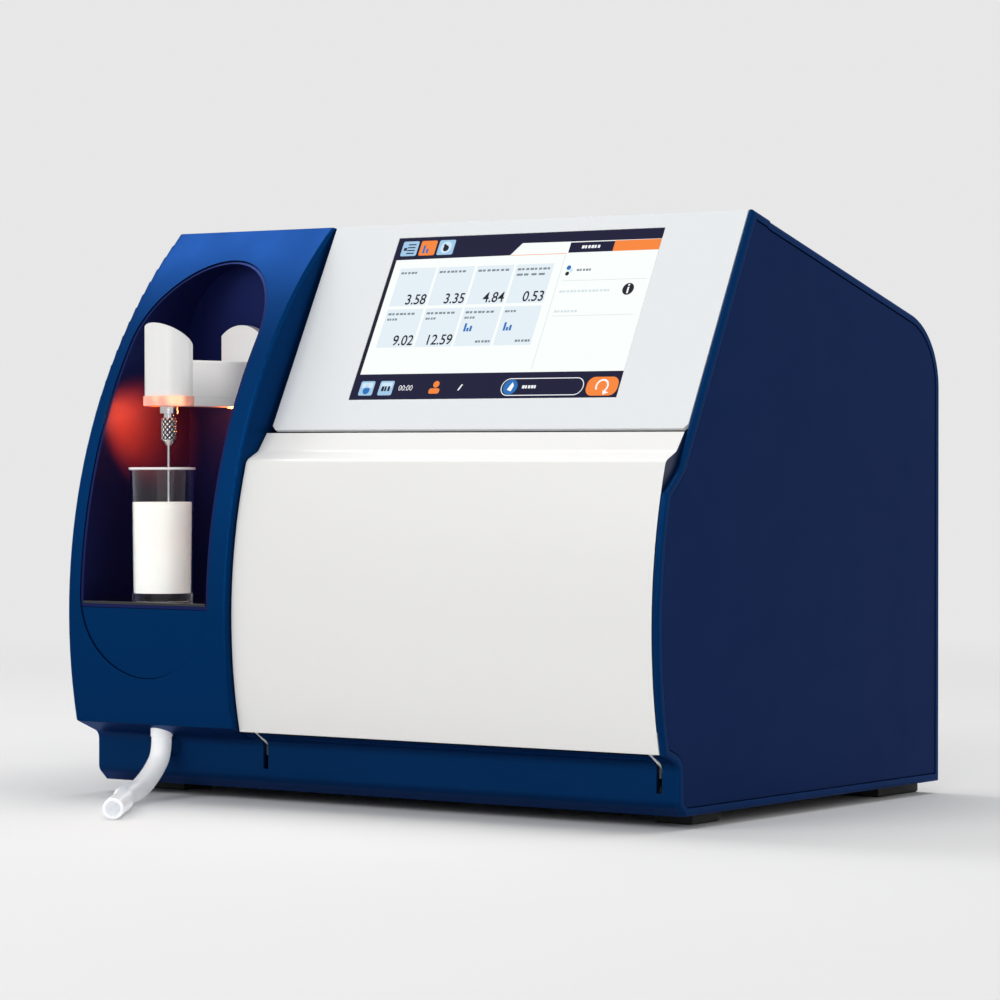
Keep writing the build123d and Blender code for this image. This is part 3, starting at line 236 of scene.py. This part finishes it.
# Lit parts: the display's module, the ring with its uneven glow, and the lens below the arm
module_dark = lit("display_module", (0.02, 0.03, 0.06), 0.2)
ring_glow = Shader("ring_glow", (0.85, 0.40, 0.32), 0.25)
ring_glow.fixed("Emission Color", (1.0, 0.30, 0.14, 1))
ring_patches = ring_glow.noise(70.0, 1.0)
ring_glow.feed("Emission Strength", map_range(ring_glow.tree, ring_patches, (0.42, 0.66), (0.15, 1.5)))
ring_glow.vary_color(60.0, 0.05).grain(600.0, 0.05)
lens_glow = Shader("lens_glow", (0.95, 0.6, 0.5), 0.08).emit((1.0, 0.20, 0.04), 9.0).vary_color(300.0, 0.08)

# Clear cup. It turns milky white towards its rim as a painted highlight along the rim, between these two
# distances below its top
RIM_HIGHLIGHT_START = 1.8 * MM
RIM_HIGHLIGHT_FULL = 0.8 * MM
clear = Shader("clear_cup", (0.985, 0.99, 0.995), 0.02, Transmission_Weight=1.0, IOR=1.3)
clear.vary_roughness(40.0, 0.01).grain(25.0, 0.02, 0.2)
cup_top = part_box("sample_cup")[1].z
cup_height = axis(clear.tree, clear.coords.outputs["Object"], "Z")
rim_highlight_range = (cup_top - RIM_HIGHLIGHT_START, cup_top - RIM_HIGHLIGHT_FULL)
# Painted highlight: less transmission near the rim makes it milky white
clear.feed("Transmission Weight", map_range(clear.tree, cup_height, rim_highlight_range, (1.0, 0.2)))

# Screen glass and hose
glass = Shader("screen_glass", (0.005, 0.007, 0.012), 0.06).vary_roughness(20.0, 0.02).vary_color(20.0, 0.1)
hose_clear = Shader(
    "hose_clear",
    (0.92, 0.93, 0.93),
    0.24,
    Transmission_Weight=0.15,
    IOR=1.42,
    Subsurface_Weight=0.5,
    Subsurface_Radius=(0.006, 0.005, 0.005),
)
# The hose gives off a faint painted glow, standing in for light on its shaded lower side
hose_clear.emit((0.93, 0.94, 1.0), 0.14).vary_color(25.0, 0.015).vary_roughness(20.0, 0.03)


def paint_shade_on_right_side(shader, color, above):
    """Faces that look to the right get a dark colour as painted shade, above a height in metres."""
    tree = shader.tree
    squareness = 0.92
    facing = add_node(tree, "ShaderNodeNewGeometry")
    sideways = combine(tree, "GREATER_THAN", axis(tree, facing.outputs["True Normal"], "X"), squareness)
    high = combine(tree, "GREATER_THAN", axis(tree, shader.coords.outputs["Object"], "Z"), above)
    mix = add_node(tree, "ShaderNodeMix", data_type="RGBA")
    tree.links.new(combine(tree, "MULTIPLY", sideways, high), mix.inputs["Factor"])
    plain_color, painted_shade_color = (socket for socket in mix.inputs if socket.type == "RGBA")
    tree.links.new(shader.shader.inputs["Base Color"].links[0].from_socket, plain_color)
    painted_shade_color.default_value = (*color, 1)
    shader.feed("Base Color", next(socket for socket in mix.outputs if socket.type == "RGBA"))


# The door's right side gets painted shade, as in a dark gap beside it, but its hinge arms below stay white
DOOR_SIDE_LOW = 60 * MM
paint_shade_on_right_side(door_white, (0.004, 0.012, 0.05), DOOR_SIDE_LOW)


def paint(shader, *names):
    """CAD nodes get a material."""
    for name in names:
        piece = nodes[name]
        if not piece.material_slots:
            piece.data.materials.append(shader.material)
        for place in piece.material_slots:
            place.material = shader.material


paint(bow_navy, "left_side_frame", "bow_fascia", "niche_cover")
paint(navy, "right_side_frame", "plinth", "header_strip", "top_cover")
paint(navy_sheet, "left_side_panel", "right_side_panel")
paint(niche_navy, "niche_liner")
paint(shelf_black, "cup_shelf")
paint(white, "display_panel")
paint(door_white, "door_panel")
paint(grey, "door_liner", "display_frame", "bay_liner")
paint(glass, "touch_glass")
paint(module_dark, "lcd_module")
paint(head_white, "pipette_column", "arm_shell", "arm_cover", "rear_shield")
paint(ring_glow, "light_ring")
paint(lens_glow, "status_lens")
paint(steel, "needle_collar", "knurled_nut", "needle", "left_guide_rod", "right_guide_rod", "lift_screw")
paint(aluminium, "lift_carriage", "lower_bearing_block", "upper_bearing_block", "optics_housing")
paint(clear, "sample_cup")
paint(milk, "milk_sample")
paint(hose_clear, "drain_spigot")
paint(black, "fan_frame", "fan_rotor", "power_inlet", "switch_rocker")
paint(black, "left_cap", "right_cap", "pump_rotor", "lift_motor", "pump_body")
paint(rubber, "front_left_foot", "front_right_foot", "rear_left_foot", "rear_right_foot")
paint(sheet_metal, "rear_panel", "base_plate", "power_supply", "left_hinge_bracket", "right_hinge_bracket")
paint(bottle, "left_bottle", "right_bottle")
paint(board_green, "main_board")


# Drain hose, on the route of part.py
HOSE_RADIUS = 6.65
HOSE_WALL = 2.05
hose_route = [
    (-167.0, -151.8, 40.0),
    (-167.0, -151.8, 29.0),
    (-167.2, -158.5, 19.0),
    (-165.0, -170.5, 11.0),
    (-160.0, -184.8, 6.8),
    (-146.0, -214.0, 6.8),
    (-122.0, -240.0, 6.8),
    (-104.0, -268.5, 6.8),
    (-91.5, -285.0, 6.8),
]
hose_curve = bpy.data.curves.new("drain_tube", "CURVE")
hose_curve.dimensions = "3D"
hose_curve.bevel_depth = HOSE_RADIUS * MM
hose_curve.bevel_resolution = 10
hose_curve.resolution_u = 24
spline = hose_curve.splines.new("NURBS")
spline.points.add(len(hose_route) - 1)
for point, (x, y, z) in zip(spline.points, hose_route):
    point.co = (x * MM, y * MM, z * MM, 1.0)
spline.order_u = 3
spline.use_endpoint_u = True
hose_curve.use_fill_caps = False
hose_curve.materials.append(hose_clear.material)
hose = bpy.data.objects.new("drain_tube", hose_curve)
bpy.context.scene.collection.objects.link(hose)
wall = hose.modifiers.new("wall", "SOLIDIFY")
wall.thickness = HOSE_WALL * MM
wall.offset = -1.0
wall.use_rim = True
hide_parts("drain_hose")
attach(hose, "housing")


# The leaning face and its screen, in mm to the right and up the face from its lower edge
FACE_LEAN = math.radians(27.2643)
FACE_LOW_EDGE = Vector((0.0, -128.429, 239.8))
FACE_UP = Vector((0.0, math.sin(FACE_LEAN), math.cos(FACE_LEAN)))
FACE_OUT = Vector((0.0, -math.cos(FACE_LEAN), math.sin(FACE_LEAN)))
SCREEN_LEFT, SCREEN_RIGHT = -38.05, 168.04
SCREEN_LOW, SCREEN_HIGH = 21.67, 140.45
SCREEN_WIDE = SCREEN_RIGHT - SCREEN_LEFT
SCREEN_TALL = SCREEN_HIGH - SCREEN_LOW
ASPECT = SCREEN_WIDE / SCREEN_TALL
LAYER_LOWEST = -0.19
LAYER_STEP = 0.025


def on_screen(u, t, out):
    """A point in metres: u from 0 at the left to 1, t from 0 at the top to 1, out to the front in mm."""
    across = Vector((SCREEN_LEFT + u * SCREEN_WIDE, 0, 0))
    return (FACE_LOW_EDGE + across + FACE_UP * (SCREEN_HIGH - t * SCREEN_TALL) + FACE_OUT * out) * MM


def on_circle(u, t, radius, degrees):
    """A point round a centre; the radius is a share of the screen's width."""
    angle = math.radians(degrees)
    return u + radius * math.cos(angle), t - radius * ASPECT * math.sin(angle)


class Layer:
    """Flat screen shapes of one colour, gathered into one mesh."""

    def __init__(self, name, color, level, strength=0.98):
        self.name = name
        self.out = LAYER_LOWEST + LAYER_STEP * level
        self.mesh = bmesh.new()
        self.material = lit(name, color, strength).material

    def shape(self, outline):
        self.mesh.faces.new([self.mesh.verts.new(on_screen(u, t, self.out)) for u, t in outline])

    def box(self, u0, t0, u1, t1, corner=0.0):
        if not corner:
            self.shape([(u0, t1), (u1, t1), (u1, t0), (u0, t0)])
            return
        left, right, top, low = u0 + corner, u1 - corner, t0 + corner * ASPECT, t1 - corner * ASPECT
        centres = ((right, top, 0), (left, top, 90), (left, low, 180), (right, low, 270))
        turns = [step * 15 for step in range(7)]
        self.shape([on_circle(u, t, corner, start + turn) for u, t, start in centres for turn in turns])

    def disc(self, u, t, radius, sides=28):
        self.shape([on_circle(u, t, radius, 360 * side / sides) for side in range(sides)])

    def arc(self, u, t, radius, thick, start, end, steps=24):
        turns = [start + (end - start) * step / steps for step in range(steps + 1)]
        outer = [on_circle(u, t, radius, turn) for turn in turns]
        inner = [on_circle(u, t, radius - thick, turn) for turn in turns]
        for step in range(steps):
            self.shape([outer[step], outer[step + 1], inner[step + 1], inner[step]])

    def dashes(self, u0, u1, t, tall, count):
        """A run of short marks that stands for a line of words."""
        step = (u1 - u0) / count
        for number in range(count):
            share = 0.82 - 0.11 * ((number * 5) % 3)
            self.box(u0 + number * step, t - tall / 2, u0 + (number + share) * step, t + tall / 2)

    def figures(self, text, u, t, height, weight=0.012):
        """Plain figures that end at u and stand on t."""
        data = bpy.data.curves.new("figures", "FONT")
        data.body = text
        data.size = 1.0
        data.align_x = "RIGHT"
        data.offset = weight
        data.materials.append(self.material)
        made = bpy.data.objects.new("figures_" + str(len(bpy.data.objects)), data)
        bpy.context.scene.collection.objects.link(made)
        figure_share, narrowing, lift = 0.7, 0.93, 0.02
        tall = height * SCREEN_TALL * MM / figure_share
        made.scale = (tall * narrowing, tall, tall)
        made.rotation_euler = (math.pi / 2 - FACE_LEAN, 0, 0)
        made.location = on_screen(u, t, self.out + lift)
        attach(made, "housing")

    def done(self):
        data = bpy.data.meshes.new(self.name)
        self.mesh.normal_update()
        self.mesh.to_mesh(data)
        self.mesh.free()
        data.materials.append(self.material)
        made = bpy.data.objects.new(self.name, data)
        bpy.context.scene.collection.objects.link(made)
        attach(made, "housing")


border = Layer("screen_border", (0.006, 0.007, 0.022), 0, 1.0)
paper = Layer("screen_paper", (0.93, 0.97, 0.95), 1)
bars = Layer("screen_bars", (0.007, 0.008, 0.036), 2, 1.0)
tiles = Layer("screen_tiles", (0.76, 0.84, 0.90), 3)
lines = Layer("screen_lines", (0.66, 0.74, 0.78), 3)
orange = Layer("screen_orange", (0.92, 0.24, 0.045), 4)
pale = Layer("screen_pale", (0.36, 0.58, 0.80), 4)
frost = Layer("screen_frost", (0.62, 0.80, 0.94), 5)
blue = Layer("screen_blue", (0.02, 0.16, 0.48), 5)
grey_ink = Layer("screen_grey", (0.20, 0.25, 0.29), 5, 1.0)
ink = Layer("screen_ink", (0.012, 0.014, 0.022), 6, 1.0)
light = Layer("screen_light", (0.93, 0.95, 0.97), 6)


def page():
    """The page, the bars above and below it, and its two tabs."""
    border.box(0, 0, 1, 1)
    paper.box(0.014, 0.05, 1, 0.87)
    bars.shape([(0, 0.138), (0.452, 0.133), (0.487, 0.06), (0.665, 0.062), (1.0, 0.064), (1.0, 0.0), (0, 0)])
    bars.box(0, 0.846, 1, 1)
    bars.box(0.669, 0.068, 0.832, 0.13)
    orange.box(0.832, 0.066, 1.0, 0.130)
    orange.box(0.456, 0.1325, 0.665, 0.1355)
    light.dashes(0.715, 0.785, 0.098, 0.018, 6)
    bars.dashes(0.875, 0.945, 0.098, 0.018, 6)


TILE_LEFT, TILE_TOP = 0.042, 0.192
TILE_PITCH = (0.1495, 0.255)
TILE_SIZE = (0.140, 0.236)
FIGURES_LINE = (0.418, 0.670)
CHART_LINE = 0.594
WORD_TALL = 0.013
# Column, row, length of the tile's first and second line of words, and its figures
tile_contents = (
    (0, 0, 0.067, 0.0, "3.58"),
    (1, 0, 0.104, 0.0, "3.35"),
    (2, 0, 0.120, 0.0, "4.84"),
    (3, 0, 0.127, 0.110, "0.53"),
    (0, 1, 0.105, 0.040, "9.02"),
    (1, 1, 0.110, 0.040, "12.59"),
    (2, 1, 0.110, 0.040, ""),
    (3, 1, 0.042, 0.0, ""),
)


def result_tiles():
    """Two rows of tiles, each with words and either figures or a small chart."""
    for column, row, first_line, second_line, text in tile_contents:
        left = TILE_LEFT + column * TILE_PITCH[0]
        top = TILE_TOP + row * TILE_PITCH[1]
        tiles.box(left, top, left + TILE_SIZE[0], top + TILE_SIZE[1])
        words = left + 0.008
        grey_ink.dashes(words, words + first_line, top + 0.030, WORD_TALL, 3 + int(first_line * 40))
        if second_line:
            grey_ink.dashes(left + 0.010, left + 0.010 + second_line, top + 0.063, WORD_TALL, 4)
        if text:
            ink.figures(text, left + 0.138, FIGURES_LINE[row], 0.061)
            continue
        for number, tall in enumerate((0.050, 0.022, 0.034)):
            start = left + 0.020 + number * 0.011
            blue.box(start, CHART_LINE - tall, start + 0.008, CHART_LINE)
        grey_ink.dashes(left + 0.078, left + 0.138, 0.657, 0.014, 5)


def side_column():
    """The page's right part, with ruled lines, words and a round mark."""
    lines.box(0.661, 0.14, 0.663, 0.83)
    lines.box(0.675, 0.300, 0.985, 0.303)
    lines.box(0.680, 0.512, 0.975, 0.515)
    blue.disc(0.689, 0.222, 0.008)
    ink.disc(0.689, 0.258, 0.007)
    frost.disc(0.700, 0.240, 0.007)
    grey_ink.dashes(0.721, 0.777, 0.238, WORD_TALL, 5)
    lines.dashes(0.680, 0.868, 0.366, WORD_TALL, 14)
    lines.dashes(0.682, 0.768, 0.486, WORD_TALL, 7)
    ink.disc(0.930, 0.362, 0.0205)


def top_buttons():
    """A list, a chart and a dial."""
    left, pitch, wide, top, low, corner = 0.022, 0.071, 0.062, 0.022, 0.114, 0.006
    for number, layer in enumerate((pale, orange, pale)):
        start = left + number * pitch
        layer.box(start, top, start + wide, low, corner)
    for line in range(4):
        ink.box(left + 0.022, 0.040 + line * 0.018, left + 0.052, 0.047 + line * 0.018)
    ink.box(left + 0.008, 0.062, left + 0.020, 0.080)
    chart = left + pitch + 0.013
    for number, (layer, tall) in enumerate(((blue, 0.050), (blue, 0.028), (bars, 0.060))):
        layer.box(chart + number * 0.014, 0.100 - tall, chart + number * 0.014 + 0.008, 0.100)
    dial = left + 2 * pitch + wide / 2
    frost.disc(dial, 0.068, 0.021)
    ink.disc(dial, 0.074, 0.011)
    ink.disc(dial - 0.006, 0.055, 0.005)


def low_buttons():
    """A drop and a gauge at the left of the lower bar."""
    for start in (0.030, 0.105):
        pale.box(start, 0.888, start + 0.054, 0.975, 0.006)
        frost.box(start + 0.006, 0.898, start + 0.048, 0.930, 0.004)
    blue.disc(0.057, 0.945, 0.013)
    blue.shape([(0.046, 0.938), (0.068, 0.938), (0.057, 0.905)])
    ink.dashes(0.115, 0.151, 0.935, 0.030, 3)


def low_bar():
    """Clock, user mark, slash, pill with a drop, and the round-arrow button."""
    middle = 0.934
    light.figures("00:00", 0.235, 0.947, 0.032, -0.004)
    orange.disc(0.322, 0.912, 0.0115)
    orange.box(0.300, 0.936, 0.340, 0.968, 0.007)
    light.shape([(0.408, 0.950), (0.414, 0.950), (0.424, 0.915), (0.418, 0.915)])
    pill_left, pill_right, pill_radius, rim = 0.600, 0.842, 0.030, 0.0028
    light.arc(pill_left, middle, pill_radius, rim, 90, 270)
    light.arc(pill_right, middle, pill_radius, rim, -90, 90)
    for edge in (middle - pill_radius * ASPECT, middle + (pill_radius - rim) * ASPECT):
        light.box(pill_left, edge, pill_right, edge + rim * ASPECT)
    blue.disc(0.604, middle, 0.026)
    light.shape([(0.594, 0.950), (0.610, 0.960), (0.616, 0.925), (0.608, 0.905)])
    light.dashes(0.648, 0.702, middle, 0.018, 5)
    orange.box(0.882, 0.880, 0.995, 0.990, 0.026)
    light.arc(0.938, middle, 0.0235, 0.006, -50, 215)
    light.shape([(0.948, 0.985), (0.968, 0.972), (0.944, 0.958)])


page()
result_tiles()
side_column()
top_buttons()
low_buttons()
low_bar()
for layer in (border, paper, bars, tiles, lines, orange, pale, frost, blue, grey_ink, ink, light):
    layer.done()
info = Layer("screen_info", (0.93, 0.95, 0.97), 7)
info.box(0.927, 0.350, 0.933, 0.388)
info.disc(0.930, 0.338, 0.0035)
info.done()


# Knurled nut
def nut_profile(low, high, radius, tip_low, tip_radius, depth):
    """Rows of height, radius and groove depth, from the tapered tip to the top, in mm."""
    knurl_rows, run_out, chamfer = 60, 0.05, 0.45
    taper_inset, taper_gap, top_inset = 0.4, 0.15, 1.2
    rows = [(tip_low, tip_radius, 0.0), (low - taper_gap, radius - taper_inset, 0.0)]
    for row in range(knurl_rows + 1):
        share = row / knurl_rows
        cut = min(1.0, min(share, 1 - share) / run_out)
        rows.append((low + (high - low) * share, radius - chamfer * (1 - cut), depth * cut))
    rows.append((high, radius - top_inset, 0.0))
    return rows


def knurled_nut(taper_tall, tip_radius, ridges, depth):
    """Finger nut with crossed knurling and a tapered lower end, as one closed mesh in the CAD nut's box; the
    faces deep in the grooves get a darker steel as painted shade.
    """
    box_low, box_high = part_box("knurled_nut")
    centre_x, centre_y = ((box_low + box_high) / 2 / MM).xy
    radius = (box_high.x - box_low.x) / 2 / MM
    tip_low, high = box_low.z / MM, box_high.z / MM
    low = tip_low + taper_tall
    profile = nut_profile(low, high, radius, tip_low, tip_radius, depth)
    mesh = bmesh.new()
    sides = ridges * 8
    rings = []
    for z, base, groove in profile:
        climb = (z - low) * ridges / (2 * math.pi * radius)
        ring = []
        for side in range(sides):
            turn = side * ridges / sides
            wave = max(abs(((turn + way * climb) % 1.0) - 0.5) * 2 for way in (1, -1))
            reach = base - groove * wave ** 2
            angle = 2 * math.pi * side / sides
            x = centre_x + reach * math.cos(angle)
            y = centre_y + reach * math.sin(angle)
            ring.append(mesh.verts.new((x * MM, y * MM, z * MM)))
        rings.append(ring)
    for (_, base, groove), lower, upper in zip(profile, rings, rings[1:]):
        for side in range(sides):
            after = (side + 1) % sides
            face = mesh.faces.new((lower[side], lower[after], upper[after], upper[side]))
            x, y = face.calc_center_median().xy / MM
            reach = math.hypot(x - centre_x, y - centre_y)
            # Faces deep in the grooves get the darker steel, painted shade in the knurl
            face.material_index = int(groove > 0 and reach < base - groove / 2)
    mesh.faces.new(list(reversed(rings[0])))
    mesh.faces.new(rings[-1])
    data = bpy.data.meshes.new("finger_nut")
    mesh.to_mesh(data)
    mesh.free()
    data.materials.append(steel.material)
    data.materials.append(steel_groove_shade.material)
    made = bpy.data.objects.new("finger_nut", data)
    bpy.context.scene.collection.objects.link(made)
    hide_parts("knurled_nut")
    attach(made, "pipette_head")


knurled_nut(taper_tall=3.4, tip_radius=2.0, ridges=9, depth=0.8)


# Floor and backdrop, in metres
PALE = 0.80
FLOOR_NEAR_EDGE, FLOOR_FAR_EDGE = -6.0, 3.0
CURVE_RADIUS = 2.0
CURVE_STEPS = 12
BACKDROP_TOP = 7.0
HALF_WIDTH = 9.0
PLAIN_FROM, PLAIN_FULL = 0.55, 2.2


def stage_mesh():
    """Floor that curves up into a backdrop, square to the camera."""
    profile = [(FLOOR_NEAR_EDGE, 0.0), (FLOOR_FAR_EDGE, 0.0)]
    for step in range(1, CURVE_STEPS + 1):
        angle = math.pi / 2 * step / CURVE_STEPS
        rise = CURVE_RADIUS * (1 - math.cos(angle))
        profile.append((FLOOR_FAR_EDGE + CURVE_RADIUS * math.sin(angle), rise))
    profile.append((FLOOR_FAR_EDGE + CURVE_RADIUS, BACKDROP_TOP))
    mesh = bmesh.new()
    rows = []
    for along, up in profile:
        row = []
        for across in (-HALF_WIDTH, HALF_WIDTH):
            x = across * math.cos(CAMERA_TURN) - along * math.sin(CAMERA_TURN)
            y = across * math.sin(CAMERA_TURN) + along * math.cos(CAMERA_TURN)
            row.append(mesh.verts.new((x, y, up)))
        rows.append(row)
    for first, second in zip(rows, rows[1:]):
        mesh.faces.new((first[0], first[1], second[1], second[0]))
    for face in mesh.faces:
        face.smooth = True
    data = bpy.data.meshes.new("backdrop")
    mesh.to_mesh(data)
    mesh.free()
    made = bpy.data.objects.new("backdrop", data)
    bpy.context.scene.collection.objects.link(made)
    return made


def floor_material():
    """Matt and pale near the object, and plain pale where it is seen far from it."""
    floor = Shader("pale_floor", (PALE, PALE, PALE), 0.6, Specular_IOR_Level=0.0)
    floor.vary_color(3.0, 0.006).vary_roughness(8.0, 0.04)
    tree = floor.tree
    reach = add_node(tree, "ShaderNodeVectorMath", operation="LENGTH")
    tree.links.new(floor.coords.outputs["Object"], reach.inputs[0])
    far = map_range(tree, reach.outputs["Value"], (PLAIN_FROM, PLAIN_FULL), interpolation_type="SMOOTHSTEP")
    plain = add_node(tree, "ShaderNodeEmission", Color=(PALE, PALE, PALE, 1.0), Strength=1.0)
    mix = add_node(tree, "ShaderNodeMixShader")
    tree.links.new(combine(tree, "MULTIPLY", seen_directly(tree), far), mix.inputs[0])
    tree.links.new(floor.shader.outputs[0], mix.inputs[1])
    tree.links.new(plain.outputs[0], mix.inputs[2])
    output = next(n for n in tree.nodes if n.type == "OUTPUT_MATERIAL")
    tree.links.new(mix.outputs[0], output.inputs["Surface"])
    return floor.material


stage_mesh().data.materials.append(floor_material())

# Surroundings: soft light, seen as the backdrop's own tone
SOFT_LIGHT = 0.35
world = bpy.data.worlds.new("world")
world.use_nodes = True
sky = world.node_tree
surround = sky.nodes["Background"]
surround.inputs["Color"].default_value = (1.0, 1.0, 1.0, 1)
sky.links.new(map_range(sky, seen_directly(sky), (0.0, 1.0), (SOFT_LIGHT, PALE)), surround.inputs["Strength"])
bpy.context.scene.world = world


# Lamps
def aim(lamp, place, target):
    lamp.location = place
    lamp.rotation_euler = (Vector(target) - Vector(place)).to_track_quat("-Z", "Y").to_euler()


def studio_lamp(name, place, target, width, height, power):
    """Soft area lamp, placed in metres."""
    data = bpy.data.lights.new(name, "AREA")
    data.shape = "RECTANGLE"
    data.size, data.size_y = width, height
    data.energy = power
    made = bpy.data.objects.new(name, data)
    aim(made, place, target)
    bpy.context.scene.collection.objects.link(made)


def head_lamp(name, kind, place, target, power, color, radius):
    """Small unseen lamp that moves with the pipette head, placed in mm."""
    data = bpy.data.lights.new(name, kind)
    data.energy = power
    data.color = color
    if kind == "AREA":
        data.shape = "DISK"
        data.size = radius * 2 * MM
    else:
        data.shadow_soft_size = radius * MM
    made = bpy.data.objects.new(name, data)
    aim(made, place * MM, target * MM)
    made.visible_camera = False
    bpy.context.scene.collection.objects.link(made)
    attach(made, "pipette_head")
    return data


def underside(node):
    """Middle of a node's lower side, in mm."""
    low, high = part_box(node)
    return Vector(((low.x + high.x) / 2, (low.y + high.y) / 2, low.z)) / MM


housing_middle = (0, 0, 0.2)
studio_lamp("key", (-0.9, -2.6, 1.6), housing_middle, 1.6, 1.6, 26)
studio_lamp("fill", (1.7, -2.8, 1.0), (-0.15, -0.1, 0.25), 1.2, 1.0, 22)
studio_lamp("side", (3.0, 0.2, 1.1), (0.1, 0, 0.2), 1.2, 1.6, 8)
studio_lamp("top", (0.2, 0.6, 2.6), housing_middle, 2.0, 1.6, 30)
studio_lamp("bow_sheen", (-2.3, 0.25, 2.9), (-0.17, -0.1, 0.33), 1.2, 1.2, 32)

ring = underside("light_ring")
lens = underside("status_lens")
down = Vector((0, 0, -150))
ring_side = ring + Vector((-11.0, 0.6, -1.0))
niche_wall = ring + Vector((-52.0, 24.6, -8.6))
wall_glow = head_lamp("wall_glow", "SPOT", ring_side, niche_wall, 13.0, (1.0, 0.035, 0.0), 2.0)
wall_glow.spot_size = math.radians(80.0)
wall_glow.spot_blend = 1.0
below_ring = ring + Vector((0, 0, -0.4))
head_lamp("ring_down", "AREA", below_ring, below_ring + down, 0.0015, (1.0, 0.3, 0.15), 12.0)
arm_side = ring + Vector((44.0, 32.6, 30.4))
arm_fill_aim = arm_side + Vector((-29.0, 0.0, -3.0))
head_lamp("arm_fill", "AREA", arm_side, arm_fill_aim, 0.006, (1.0, 0.98, 0.96), 17.0)
below_lens = lens + Vector((0, 0, -2.1))
head_lamp("lens_down", "POINT", below_lens, below_lens + down, 0.12, (1.0, 0.17, 0.03), 2.0)

bpy.context.scene.view_settings.view_transform = "Standard"
